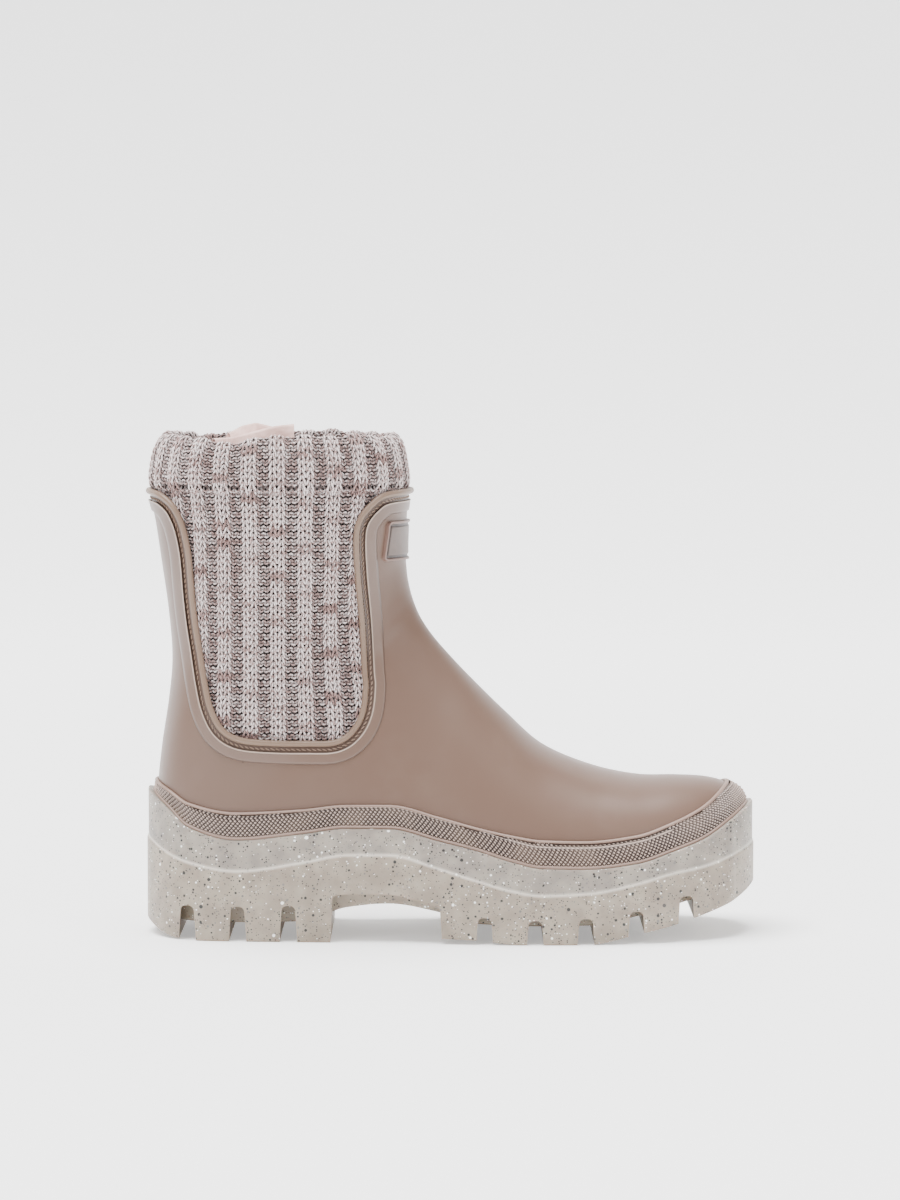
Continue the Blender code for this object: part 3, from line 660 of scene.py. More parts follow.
@dataclass(frozen=True)
class MarledYarn:
    """Loosely twisted wool-like yarn of pale, grey-pink and rose-brown plies."""

    name: str
    pale: Colour = srgb(230, 218, 216)
    pink: Colour = srgb(160, 126, 120)
    brown: Colour = srgb(88, 54, 48)
    # the near-black colour of the painted shade in the rib's recesses
    painted_recess_shade: Colour = srgb(30, 15, 12)
    plies: float = 2.0

    def material(self) -> bpy.types.Material:
        """Wire the material: plies along the yarn, marl patches, painted shade in the depths and on
        the yarn's flanks, and fuzz.
        """
        shader = Shader(self.name, 0.92, Sheen_Weight=0.35, Sheen_Roughness=0.6,
                        Specular_IOR_Level=0.2)
        along = shader.stored("along")
        around = shader.stored("around")
        marl = shader.stored("marl")
        depth = shader.stored("depth")
        fibre = shader.noise(5200.0, 4.0)
        mottle = shader.noise(1100.0, 3.0)
        twist = (along * 330.0 + around * self.plies).fraction()
        ply = (twist - 0.5).maths("ABSOLUTE", twist - 0.5) * 2.0
        light = shader.mix(mottle.step(0.40, 0.64), self.pale, self.pink)
        dark = shader.mix(mottle.step(0.35, 0.60), self.brown, self.pink)
        tone = shader.mix((marl + (mottle - 0.5) * 0.9 + (ply - 0.5) * 0.30).step(0.38, 0.62),
                          light, dark)
        # painted shade: the yarn darkens where it lies deep in the rib and on the tube's sides
        tone = shader.mix(depth, tone, self.painted_recess_shade)
        tone = shader.mix((fibre - 0.5).step(0.0, 0.3) * 0.35, tone, self.pale)
        height = ply * 0.7 + fibre * 0.5
        return shader.feed(Base_Color=tone, Normal=shader.bump(height, 0.00016, 0.9))


@dataclass(frozen=True)
class KnitBacking:
    """The dark, fuzzy ground behind the stitches, ribbed like them."""

    name: str = "knit backing"
    colour: Colour = srgb(46, 30, 26)
    light: Colour = srgb(112, 88, 82)

    def material(self) -> bpy.types.Material:
        """Wire the material: a fine ribbed weave and loose fibres."""
        shader = Shader(self.name, 0.95, Sheen_Weight=0.2, Specular_IOR_Level=0.15)
        uv = shader.node("UVMap", {}, {})
        split = [shader.node("SeparateXYZ", {}, {0: uv}, k) for k in range(2)]
        rib = (split[0] * (TAU / 0.00685)).sine() * 0.5 + 0.5
        bead = (split[1] * (TAU / 0.0032)).sine() * 0.5 + 0.5
        fuzz = shader.noise(2400.0, 4.0)
        share = rib * 0.45 + bead * 0.25 + fuzz * 0.5
        tone = shader.mix(share.step(0.35, 0.95), self.colour, self.light)
        return shader.feed(Base_Color=tone, Normal=shader.bump(share, 0.0006, 0.8))


@dataclass(frozen=True)
class SatinCloth:
    """Smooth pale-pink satin of the folded loop inside the cuff."""

    name: str = "pale satin"
    colour: Colour = srgb(228, 192, 182)
    shade: Colour = srgb(200, 162, 152)

    def material(self) -> bpy.types.Material:
        """Wire the material: a fine weft, faint rumples and painted shade in their folds."""
        shader = Shader(self.name, 0.55, Sheen_Weight=0.3, Specular_IOR_Level=0.35)
        rumple = shader.noise(160.0, 3.0)
        x = shader.node("SeparateXYZ", {}, {0: shader.place()}, 2)
        weft = (x * (TAU / 0.0004)).sine() * 0.5 + 0.5
        # painted shade: the rumple noise darkens the satin as if its folds were shaded
        tone = shader.mix(rumple.step(0.30, 0.75), self.colour, self.shade)
        soft = shader.bump(rumple, 0.0006)
        return shader.feed(Base_Color=tone, Normal=shader.bump(weft, 0.00003, 0.6, soft))


@dataclass(frozen=True)
class Felt:
    """The insole's needled felt."""

    name: str = "insole felt"
    colour: Colour = srgb(150, 138, 128)
    dark: Colour = srgb(104, 92, 84)

    def material(self) -> bpy.types.Material:
        """Wire the material: tangled fibres and worn clouds."""
        shader = Shader(self.name, 0.95, Sheen_Weight=0.2, Specular_IOR_Level=0.15)
        fibre = shader.noise(1900.0, 6.0)
        worn = shader.noise(60.0, 3.0)
        tone = shader.mix(fibre.step(0.35, 0.65), self.dark, self.colour)
        tone = shader.mix(worn.step(0.5, 0.8) * 0.4, tone, self.dark)
        return shader.feed(Base_Color=tone, Normal=shader.bump(fibre, 0.0003, 0.8))


def add_piece(name: str, mesh: bpy.types.Mesh, material: bpy.types.Material,
              replaces: Sequence[str] = (), sharp: Union[float, None] = 40.0) -> bpy.types.Object:
    """Put a finished mesh in the scene as a piece of the boot.

    Args:
        name: The piece's name.
        mesh: Its mesh, in the part's frame.
        material: Its finish.
        replaces: The solids that it stands for.
        sharp: The angle above which edges stay sharp, or None for flat faces.

    Returns:
        The object.
    """
    if sharp is not None:
        mesh.polygons.foreach_set("use_smooth", np.ones(len(mesh.polygons), dtype=bool))
        mesh.set_sharp_from_angle(angle=math.radians(sharp))
    mesh.materials.append(material)
    piece = bpy.data.objects.new(name, mesh)
    bpy.context.scene.collection.objects.link(piece)
    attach(piece, "root")
    if replaces:
        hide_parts(*replaces)
    log.info("%s: %d faces", name, len(mesh.polygons))
    return piece


def to_mesh(name: str, data: bmesh.types.BMesh) -> bpy.types.Mesh:
    """Turn a bmesh into a mesh and free it."""
    mesh = bpy.data.meshes.new(name)
    data.to_mesh(mesh)
    data.free()
    return mesh


def face_outwards(data: bmesh.types.BMesh) -> None:
    """Merge doubles and turn every face outwards."""
    bmesh.ops.remove_doubles(data, verts=data.verts, dist=1e-6)
    bmesh.ops.recalc_face_normals(data, faces=data.faces)
    if data.calc_volume(signed=True) < 0.0:
        bmesh.ops.reverse_faces(data, faces=data.faces)


def draped_grid(points: np.ndarray, close_u: bool = False, close_v: bool = False
                ) -> bmesh.types.BMesh:
    """Make a grid with create_grid and lay its vertices on given places.

    Args:
        points: Places by row (v) and column (u).
        close_u: Whether the last column meets the first; the last repeats it.
        close_v: Whether the last row meets the first; the last repeats it.

    Returns:
        The laid grid, with its doubles still in it, faces numbered by row and column.
    """
    rows, columns = points.shape[:2]
    data = bmesh.new()
    bmesh.ops.create_grid(data, x_segments=columns - 1, y_segments=rows - 1, size=1.0)
    flat = points.reshape(-1, 3)
    for vert, place in zip(data.verts, flat):
        vert.co = place
    if close_u or close_v:
        bmesh.ops.remove_doubles(data, verts=data.verts, dist=1e-7)
    return data


def store(mesh: bpy.types.Mesh, name: str, values: np.ndarray) -> None:
    """Store one number for each vertex as an attribute of a mesh."""
    layer = mesh.attributes.new(name, "FLOAT", "POINT")
    layer.data.foreach_set("value", np.ascontiguousarray(values, dtype=np.float32))


def vertices(mesh: bpy.types.Mesh) -> np.ndarray:
    """Return a mesh's vertices as an array."""
    flat = np.empty(3 * len(mesh.vertices))
    mesh.vertices.foreach_get("co", flat)
    return flat.reshape(-1, 3)


def track(curve: Callable[[np.ndarray], np.ndarray], offset: float, count: int,
          first: float = 9.0) -> np.ndarray:
    """Lay a line of the side view right round the boot.

    Args:
        curve: Gives length and height for marks from 0 at the back to 1 at the front.
        offset: How far out from the shell's surface it lies.
        count: Points on each side of the boot.
        first: The section nearest the toe that it may lie on.

    Returns:
        A closed loop of evenly spaced points, outer side first.
    """
    sides = []
    for side in (Side.OUTER.value, Side.INNER.value):
        marks = np.linspace(0.0, 1.0, 700)
        seen = curve(marks)
        laid = FORM.lift(seen[:, 0], seen[:, 1], side, offset, first)
        on = np.flatnonzero(np.abs(laid[:, 0] + FORM.shift - seen[:, 0]) < 1e-7)
        start, end = marks[max(on[0] - 1, 0)], marks[min(on[-1] + 1, len(marks) - 1)]
        marks = start + (end - start) * (0.5 - 0.5 * np.cos(np.linspace(0.0, math.pi, 900)))
        seen = curve(marks)
        sides.append(even(FORM.lift(seen[:, 0], seen[:, 1], side, offset, first), count))
    return np.vstack([sides[0], sides[1][-2:0:-1]])


def collar_track(shift: float, offset: float, count: int) -> np.ndarray:
    """Lay the collar line, moved towards the shell by shift, right round the boot."""
    fine = FORM.collar_curve(shift, 1600)
    spread = np.linspace(0.0, 1.0, len(fine))

    def curve(marks: np.ndarray) -> np.ndarray:
        """Read the collar line at marks from 0 to 1."""
        return np.column_stack([np.interp(marks, spread, column) for column in fine.T])

    return track(curve, offset, count)


def sole_track(name: str, rise: float, offset: float, count: int) -> np.ndarray:
    """Lay one of the sole's lines, raised by rise, right round the boot."""

    def curve(marks: np.ndarray) -> np.ndarray:
        """Read the line at marks from the heel to the toe."""
        x = marks * (FORM.sole_length + 0.004) - 0.002
        return np.column_stack([x, FORM.line(name, x) + rise])

    return track(curve, offset, count, 0.0)


def ring_frames(loop: np.ndarray) -> tuple[np.ndarray, np.ndarray, np.ndarray]:
    """Return tangents, outward directions and cross directions along a closed loop."""
    tangent = np.roll(loop, -1, axis=0) - np.roll(loop, 1, axis=0)
    tangent /= np.linalg.norm(tangent, axis=1)[:, None]
    outward = loop * np.array([1.0, 1.0, 0.0]) - np.array([loop[:, 0].mean(), 0.0, 0.0])
    across = np.cross(tangent, outward)
    across /= np.linalg.norm(across, axis=1)[:, None]
    return tangent, np.cross(across, tangent), across


def closed_tube(name: str, loop: np.ndarray, radius: Union[float, np.ndarray], sides: int,
                flat: float = 1.0) -> bpy.types.Mesh:
    """Run a tube along a closed loop.

    Args:
        name: The mesh's name.
        loop: Points of its middle line.
        radius: Its radius, one for all or one for each point.
        sides: How many sides it has.
        flat: Its height away from the boot, as a share of its width.

    Returns:
        The tube's mesh.
    """
    _, outward, across = ring_frames(loop)
    angle = np.linspace(0.0, TAU, sides + 1)
    angle[-1] = 0.0
    reach = np.broadcast_to(radius, (len(loop),))[:, None, None]
    rings = (loop[:, None] + reach * (np.cos(angle)[None, :, None] * flat * outward[:, None]
                                      + np.sin(angle)[None, :, None] * across[:, None]))
    data = draped_grid(np.concatenate([rings, rings[:1]]), True, True)
    face_outwards(data)
    return to_mesh(name, data)


@dataclass
class Shell:
    """The moulded upper: a smooth skin with a raised band beside the collar's bead."""

    finish: MouldedRubber
    bead_finish: MouldedRubber
    rows: int = 250
    around: int = 220
    skin_start: float = 0.0072
    sole_overlap: float = 0.0080
    loop_count: int = 420
    bead_diameter: float = 0.0028
    stitch_pitch: float = 0.00235
    thread: Colour = srgb(128, 104, 88)
    profile: tuple[tuple[float, float], ...] = (
        (2.90, -2.00), (2.92, -0.62), (3.20, -0.55), (5.05, -0.55), (5.28, -0.45), (5.40, -0.10),
        (5.44, 0.70), (5.52, 0.98), (5.70, 1.10), (5.92, 1.04), (6.12, 0.88), (6.60, 0.86),
        (8.00, 0.90), (9.60, 0.88), (10.00, 0.84), (10.30, 0.66), (10.55, 0.34), (10.72, 0.05),
        (10.85, -0.25), (11.20, -0.60))

    def _collar_shift(self, points: np.ndarray) -> np.ndarray:
        """Return how far each point is from the collar line, in the side view."""
        curve = FORM.collar_curve(0.0, 500)
        tangent = np.gradient(curve, axis=0)
        normal = np.column_stack([tangent[:, 1], -tangent[:, 0]])
        seen = points[:, [0, 2]] + np.array([FORM.shift, 0.0])
        shift = np.full(len(seen), 1.0)
        near = np.flatnonzero(seen[:, 1] > FORM.lip_height - FORM.opening_depth - 0.030)
        for part in np.array_split(near, 12):
            gap = seen[part, None] - curve[None]
            distance = np.linalg.norm(gap, axis=2)
            closest = distance.argmin(axis=1)
            picked = gap[np.arange(len(part)), closest]
            sign = np.sign(np.einsum("ij,ij->i", picked, normal[closest]))
            shift[part] = sign * distance[np.arange(len(part)), closest]
        return shift

    def _creases(self, points: np.ndarray) -> np.ndarray:
        """Return how far the listed soft hollows sink the skin at each point."""
        x, y, z = points[:, 0] + FORM.shift, points[:, 1], points[:, 2]
        sink = np.zeros(len(points))
        for cx, cz, turn, length, width, depth, side in (
                (0.150, 0.100, -0.9, 0.030, 0.009, 0.00050, -1), (0.168, 0.083, -0.7, 0.034, 0.010,
                                                                  0.00045, -1),
                (0.040, 0.094, 1.2, 0.024, 0.008, 0.00035, -1), (0.146, 0.104, -0.9, 0.030, 0.009,
                                                                 0.00050, 1),
                (0.172, 0.080, -0.6, 0.034, 0.010, 0.00040, 1), (0.036, 0.098, 1.3, 0.024, 0.008,
                                                                 0.00035, 1)):
            along = (x - cx) * math.cos(turn) + (z - cz) * math.sin(turn)
            across = (z - cz) * math.cos(turn) - (x - cx) * math.sin(turn)
            well = np.exp(-(along / length) ** 2 - (across / width) ** 2)
            sink += depth * well * smoothstep(0.0, 0.012, side * y)
        return sink

    def _skin(self) -> bpy.types.Mesh:
        """Build the smooth skin from the rand up to under the band."""
        place = np.linspace(0.0, 23.6, self.rows)[:, None]
        angle = np.linspace(0.0, TAU, self.around + 1)[None, :]
        angle = np.where(angle >= TAU - 1e-9, 0.0, angle)
        place, angle = np.broadcast_arrays(place, angle)
        points = FORM.point(place, angle, 0.0)
        flat = points.reshape(-1, 3)
        sink = self._creases(flat).reshape(place.shape)
        points = FORM.point(place, angle, -sink)
        shift = self._collar_shift(flat)
        rim = FORM.line("rim", flat[:, 0] + FORM.shift) - self.sole_overlap
        data = draped_grid(points)
        drop = [v for v, s, low in zip(data.verts, shift, flat[:, 2] < rim)
                if s < self.skin_start or low]
        bmesh.ops.delete(data, geom=drop, context="VERTS")
        bmesh.ops.remove_doubles(data, verts=data.verts, dist=1e-6)
        bmesh.ops.recalc_face_normals(data, faces=data.faces)
        top = max(data.faces, key=lambda f: f.calc_center_median().x)
        if top.normal.x < 0.0:
            bmesh.ops.reverse_faces(data, faces=data.faces)
        return to_mesh("shell_skin", data)

    def _band(self) -> bpy.types.Mesh:
        """Build the stitch groove and the raised band as one strip round the collar."""
        loops = [collar_track(shift / 1000.0, offset / 1000.0, self.loop_count)
                 for shift, offset in self.profile]
        points = np.stack(loops)
        points = np.concatenate([points, points[:, :1]], axis=1)
        # painted shade: rows on the groove's floor and on the band's outer step get darkened
        shade = [1.0 if shift < 5.42 else (0.90 if shift > 10.1 else 0.0)
                 for shift, _ in self.profile]
        groove = np.repeat(shade, points.shape[1])
        # painted highlight: rows along the band's inner lip get lightened
        lip = np.repeat([1.0 if 5.5 < shift < 6.0 else 0.0 for shift, _ in self.profile],
                        points.shape[1])
        data = draped_grid(points)
        mesh = to_mesh("collar_band", data)
        store(mesh, "groove", groove)
        store(mesh, "lip", lip)
        data = bmesh.new()
        data.from_mesh(mesh)
        bmesh.ops.remove_doubles(data, verts=data.verts, dist=1e-7)
        bmesh.ops.recalc_face_normals(data, faces=data.faces)
        front = max(data.faces, key=lambda f: f.calc_center_median().x)
        if front.normal.x < 0.0:
            bmesh.ops.reverse_faces(data, faces=data.faces)
        return to_mesh("collar_band", data)

    def _bead(self) -> bpy.types.Mesh:
        """Build the round bead, with the small marks where its ends are joined."""
        loop = collar_track(self.bead_diameter / 2.0, 0.0, self.loop_count)
        seen = loop[:, [0, 2]] + np.array([FORM.shift, 0.0])
        radius = np.full(len(loop), self.bead_diameter / 2.0)
        for x, z in ((0.0184, 0.1836), (0.0976, 0.1859)):
            radius *= 1.0 - 0.16 * np.exp(-(np.linalg.norm(seen - (x, z), axis=1) / 0.0004) ** 2)
        return closed_tube("collar_bead", loop, radius, 14)

    def _stitches(self) -> bpy.types.Mesh:
        """Lay slanting thread stitches along the groove."""
        loop = collar_track(0.00415, -0.00030, 1200)
        closed = np.vstack([loop, loop[:1]])
        length = np.linalg.norm(np.diff(closed, axis=0), axis=1).sum()
        middle = even(closed, int(length / self.stitch_pitch) + 1)[:-1]
        tangent, outward, across = ring_frames(middle)
        data = bmesh.new()
        slant = math.radians(24.0)
        for centre, t, n, b in zip(middle, tangent, outward, across):
            made = bmesh.ops.create_uvsphere(data, u_segments=6, v_segments=5, radius=1.0)
            long_way = t * math.cos(slant) + b * math.sin(slant)
            wide_way = b * math.cos(slant) - t * math.sin(slant)
            for vert in made["verts"]:
                u, v, w = vert.co
                vert.co = centre + 0.00032 * u * wide_way + 0.00034 * v * n + 0.00118 * w * long_way
        face_outwards(data)
        return to_mesh("groove_stitches", data)

    def build(self) -> None:
        """Build and dress the shell's pieces."""
        rubber = self.finish.material()
        add_piece("shell_skin", self._skin(), rubber, ("upper",), 60.0)
        groove = Shader("band rubber", self.finish.roughness, Coat_Weight=self.finish.coat,
                        Coat_Roughness=0.28)
        clouds = groove.noise(26.0, 4.0)
        tone = groove.mix((clouds - 0.42).step(0.0, 0.30) * 0.3, self.finish.colour,
                          self.finish.light)
        # painted shade in the stitch groove and along the band's outer step
        tone = groove.mix(groove.stored("groove"), tone, srgb(84, 66, 56))
        # painted highlight along the band's crisp inner lip
        tone = groove.mix(groove.stored("lip") * 0.6, tone, srgb(186, 166, 150))
        fine = groove.noise(2600.0, 2.0)
        add_piece("collar_band", self._band(), groove.feed(
            Base_Color=tone, Normal=groove.bump(fine, self.finish.skin)), (), 35.0)
        add_piece("collar_bead", self._bead(), self.bead_finish.material(),
                  ("collar_piping",), 60.0)
        thread = Shader("groove thread", 0.8, Sheen_Weight=0.2)
        twist = thread.noise(3000.0, 2.0)
        tone = thread.mix(twist, self.thread, srgb(150, 124, 106))
        add_piece("groove_stitches", self._stitches(), thread.feed(
            Base_Color=tone, Normal=thread.bump(twist, 0.0001)))


@dataclass
class Rand:
    """The knurled strip above the cup, with a thin lip on top and a smooth bead below."""

    finish: MouldedRubber
    edge_finish: MouldedRubber
    half_pitch: float = 0.00108
    rows: int = 19
    base_offset: float = 0.00085
    knurl: float = 0.00075
    start_rise: float = -0.0010
    lip_radius: float = 0.00062
    bead_radius: float = 0.00085
    heel_ribs: float = 0.0120
    painted_valley_shade: Colour = srgb(34, 22, 18)
    painted_crest_highlight: Colour = srgb(196, 174, 162)

    def _field(self) -> bpy.types.Mesh:
        """Build the field of small pyramids, with upright ribs behind the heel."""
        length = np.linalg.norm(np.diff(sole_track("rim", 0.004, 0.0, 400), axis=0), axis=1)
        count = int(round(length[:399].sum() / self.half_pitch)) + 1
        loop_count = 2 * count - 2
        column = np.arange(loop_count)
        behind = np.minimum(column, loop_count - column) * self.half_pitch < self.heel_ribs
        loops, peaks = [], []
        for row in range(self.rows):
            rise = self.start_rise + row * self.half_pitch
            low = sole_track("rim", rise, self.base_offset, count)
            high = sole_track("rim", rise, self.base_offset + self.knurl, count)
            peak = np.where(behind, column % 2 == 0, (column + row) % 2 == 0)
            loops.append(np.where(peak[:, None], high, low))
            peaks.append(peak)
        points = np.stack(loops)
        flat = points.reshape(-1, 3)
        top = FORM.line("rand", flat[:, 0] + FORM.shift) - 0.4 * self.lip_radius
        over = (flat[:, 2] > top).reshape(points.shape[:2])
        points = np.concatenate([points, points[:, :1]], axis=1)
        over = np.concatenate([over, over[:, :1]], axis=1).reshape(-1)
        whole = to_mesh("rand_knurl", draped_grid(points))
        store(whole, "peak", np.stack(peaks)[:, list(range(loop_count)) + [0]].reshape(-1))
        data = bmesh.new()
        data.from_mesh(whole)
        data.faces.ensure_lookup_table()
        columns = points.shape[1] - 1
        even_faces = [f for f in data.faces if (f.index % columns + f.index // columns) % 2 == 0]
        odd_faces = [f for f in data.faces if (f.index % columns + f.index // columns) % 2 == 1]
        doomed = [v for v, drop in zip(data.verts, over) if drop]
        bmesh.ops.triangulate(data, faces=even_faces, quad_method="ALTERNATE")
        bmesh.ops.triangulate(data, faces=odd_faces, quad_method="FIXED")
        bmesh.ops.delete(data, geom=doomed, context="VERTS")
        bmesh.ops.remove_doubles(data, verts=data.verts, dist=1e-7)
        bmesh.ops.recalc_face_normals(data, faces=data.faces)
        front = max(data.faces, key=lambda f: f.calc_center_median().x)
        if front.normal.x < 0.0:
            bmesh.ops.reverse_faces(data, faces=data.faces)
        return to_mesh("rand_knurl", data)

    def build(self) -> None:
        """Build and dress the strip, its lip and its bead."""
        smooth = self.edge_finish.material()
        worn = Shader("knurl rubber", self.finish.roughness, Coat_Weight=self.finish.coat)
        cloud = worn.noise(60.0, 4.0)
        # painted shade in the knurl's valleys and a painted highlight on its peaks
        tone = worn.mix(worn.stored("peak").step(0.12, 0.95), self.painted_valley_shade, self.painted_crest_highlight)
        tone = worn.mix((cloud - 0.4).step(0.0, 0.3) * 0.25, tone, self.finish.light)
        add_piece("rand_knurl", self._field(), worn.feed(
            Base_Color=tone, Normal=worn.bump(worn.noise(2600.0), 0.00002)), ("rand",), 12.0)
        lip = sole_track("rand", 0.0, self.base_offset - 0.0001, 460)
        add_piece("rand_lip", closed_tube("rand_lip", lip, self.lip_radius, 12, 1.5),
                  smooth)
        bead = sole_track("rim", 0.0006, self.base_offset + 0.0003, 460)
        add_piece("rand_bead", closed_tube("rand_bead", bead, self.bead_radius, 12),
                  smooth)


def baked(name: str, piece: bpy.types.Object) -> bpy.types.Mesh:
    """Apply a piece's modifiers and return the result as a mesh of its own."""
    graph = bpy.context.evaluated_depsgraph_get()
    mesh = bpy.data.meshes.new_from_object(piece.evaluated_get(graph))
    mesh.name = name
    return mesh


def working_object(name: str, data: bmesh.types.BMesh) -> bpy.types.Object:
    """Put a closed bmesh in the scene as a working object for a Boolean."""
    face_outwards(data)
    tool = bpy.data.objects.new(name, to_mesh(name, data))
    bpy.context.scene.collection.objects.link(tool)
    return tool


@dataclass
class CupSole:
    """The cup sole: two tiers outside, lugs with gaps, and a recessed body between them."""

    finish: SpeckledRubber
    count: int = 200
    tier_reach: float = 0.0040
    lower_step: float = 0.0006
    rim_round: float = 0.0010
    chamfer: float = 0.0014
    gap_top: float = 0.0062
    gap_foot: float = 0.0100
    gap_round: float = 0.0024
    heel_gaps: tuple[float, ...] = (0.0200, 0.0431, 0.0662)
    arch: tuple[float, float] = (0.0862, 0.1350)
    fore_gaps: tuple[float, ...] = (0.1551, 0.1780, 0.2009, 0.2238, 0.2467)
    channel_width: float = 0.0080
    channel_rise: float = 0.0010
    body_inset: float = 0.0070
    half_width: float = 0.0960
    undercut: float = 0.0150
    lug_round: float = 0.00055

    def _loft(self, levels: Sequence[tuple[float, str, float]], cap: bool) -> bmesh.types.BMesh:
        """Loft the outline through levels of offset, line and rise.

        Args:
            levels: The levels, from the bottom up.
            cap: Whether the top lid gets material 1, so that it can be taken off again.

        Returns:
            The closed loft.
        """
        loops = FORM.plan_outline([offset for offset, _, _ in levels], self.count)
        rows = [np.column_stack([loop[:, 0] - FORM.shift, loop[:, 1],
                                 FORM.line(name, loop[:, 0]) + rise])
                for loop, (_, name, rise) in zip(loops, levels)]
        points = np.stack(rows)
        points = np.concatenate([points, points[:, :1]], axis=1)
        data = draped_grid(points, True)
        ends = self.boundary_loops(data)
        for number, loop in enumerate(ends):
            self.close_across(data, loop, 1 if cap and number else 0)
        return data

    @staticmethod
    def boundary_loops(data: bmesh.types.BMesh) -> list[list[bmesh.types.BMVert]]:
        """Return the two open rims of a loft, the lower one first, as ordered vertices."""
        left = {e for e in data.edges if e.is_boundary}
        loops = []
        while left:
            edge = left.pop()
            loop = [edge.verts[0], edge.verts[1]]
            while True:
                step = next((e for e in loop[-1].link_edges if e in left), None)
                if step is None:
                    break
                left.discard(step)
                loop.append(step.other_vert(loop[-1]))
            loops.append(loop[:-1] if loop[0] is loop[-1] else loop)
        return sorted(loops, key=lambda loop: sum(v.co.z for v in loop) / len(loop))

    @staticmethod
    def close_across(data: bmesh.types.BMesh, loop: list[bmesh.types.BMVert],
                      index: int) -> None:
        """Close a rim with strips from one side of the boot to the other."""
        start = min(range(len(loop)), key=lambda k: loop[k].co.x)
        loop = loop[start:] + loop[:start]
        count = len(loop)
        for k in range(count // 2):
            ring = [loop[k], loop[k + 1], loop[(count - k - 1) % count], loop[(count - k) % count]]
            face = bmesh.ops.contextual_create(data, geom=list(dict.fromkeys(ring)))
            for made in face["faces"]:
                made.material_index = index

    def _prisms(self, outlines: Sequence[np.ndarray], half_width: float) -> bmesh.types.BMesh:
        """Extrude closed outlines of the side view across the boot."""
        data = bmesh.new()
        for outline in outlines:
            ring = [data.verts.new((x - FORM.shift, -half_width, z)) for x, z in outline]
            face = bmesh.ops.contextual_create(data, geom=ring)["faces"]
            made = bmesh.ops.extrude_face_region(data, geom=face)["geom"]
            moved = [g for g in made if isinstance(g, bmesh.types.BMVert)]
            bmesh.ops.translate(data, verts=moved, vec=(0.0, 2.0 * half_width, 0.0))
        return data

    def _gap(self, first: float, last: float) -> np.ndarray:
        """Return one gap's outline: wide at the floor, with a rounded top."""
        half, foot = self.gap_top / 2.0, self.gap_foot / 2.0
        notch = FORM.line("notch", np.array([first, last]))
        turn = np.linspace(0.0, math.pi / 2.0, 6)
        r = self.gap_round
        left = np.column_stack([first - half + r - r * np.cos(turn),
                                notch[0] - r + r * np.sin(turn)])
        right = np.column_stack([last + half - r + r * np.sin(turn),
                                 notch[1] - r + r * np.cos(turn)])
        inner = np.linspace(first - half + r, last + half - r, 14)[1:-1]
        roof = np.column_stack([inner, FORM.line("notch", inner)])
        return np.vstack([[(first - foot, -self.undercut)], left, roof, right,
                          [(last + foot, -self.undercut)]])

    def _channel(self, first: float, last: float) -> np.ndarray:
        """Return the outline of the channel along the middle, between two places."""
        x = np.linspace(first, last, 24)
        top = np.column_stack([x, FORM.line("body", x) + self.channel_rise])
        return np.vstack([[(first, -self.undercut)], top, [(last, -self.undercut)]])

    def _solid(self) -> bpy.types.Mesh:
        """Build the sole with its lugs cut."""
        low, high, r, c = self.tier_reach + self.lower_step, self.tier_reach, self.rim_round, \
            self.chamfer
        sole = working_object("sole_blank", self._loft((
            (low - r, "ground", 0.0), (low - 0.6 * r, "ground", 0.08 * r),
            (low - 0.15 * r, "ground", 0.45 * r), (low, "ground", r), (low, "step", -0.0012),
            (low, "step", -0.0003), (low - 0.0001, "step", 0.0), (high + 0.0001, "step", c - 0.0002),
            (high, "step", c), (high, "step", c + 0.0010), (high, "rim", -r),
            (high - 0.3 * r, "rim", -0.3 * r), (high - r, "rim", 0.0), (-0.0015, "rim", 0.0)),
            True))
        for number in range(2):
            sole.data.materials.append(bpy.data.materials.new(f"blank_{number}"))
        half = self.gap_top / 2.0
        gaps = [self._gap(x, x) for x in self.heel_gaps + self.fore_gaps]
        gaps.append(self._gap(self.arch[0] + half, self.arch[1] - half))
        channels = [self._channel(self.heel_gaps[0], self.arch[0] + self.gap_top),
                    self._channel(self.arch[1] - self.gap_top, self.fore_gaps[-1])]
        inset = self.tier_reach - self.body_inset
        body = self._loft(((inset - 0.0010, "body", 0.0), (inset, "body", 0.0010),
                           (inset, "notch", 0.0010)), False)
        tools = [(working_object("gap_tools", self._prisms(gaps, self.half_width)), "DIFFERENCE"),
                 (working_object("channel_tools", self._prisms(
                     channels, self.channel_width / 2.0)), "DIFFERENCE"),
                 (working_object("body_tool", body), "UNION")]
        for tool, operation in tools:
            cut = sole.modifiers.new(tool.name, "BOOLEAN")
            cut.operation = operation
            cut.solver = "EXACT"
            cut.object = tool
        mesh = baked("cup_sole", sole)
        for piece in [sole] + [tool for tool, _ in tools]:
            bpy.data.objects.remove(piece)
        data = bmesh.new()
        data.from_mesh(mesh)
        lid = [f for f in data.faces if f.material_index == 1]
        bmesh.ops.delete(data, geom=lid, context="FACES")
        for face in data.faces:
            face.material_index = 0
        return to_mesh("cup_sole", data)

    def build(self) -> None:
        """Build and dress the sole."""
        mesh = self._solid()
        mesh.materials.clear()
        points = vertices(mesh)
        step = FORM.line("step", points[:, 0] + FORM.shift)
        store(mesh, "tier", smoothstep(0.0003, 0.0011, points[:, 2] - step))
        # a narrow band just above the step line that carries the painted highlight of the ledge
        rise = (points[:, 2] - step - 0.0009) / 0.0005
        store(mesh, "ledge", np.exp(-rise * rise))
        store(mesh, "foot", 1.0 - smoothstep(0.0001, 0.0007, points[:, 2]))
        add_piece("cup_sole", mesh, self.finish.material(), ("outsole",), 32.0)


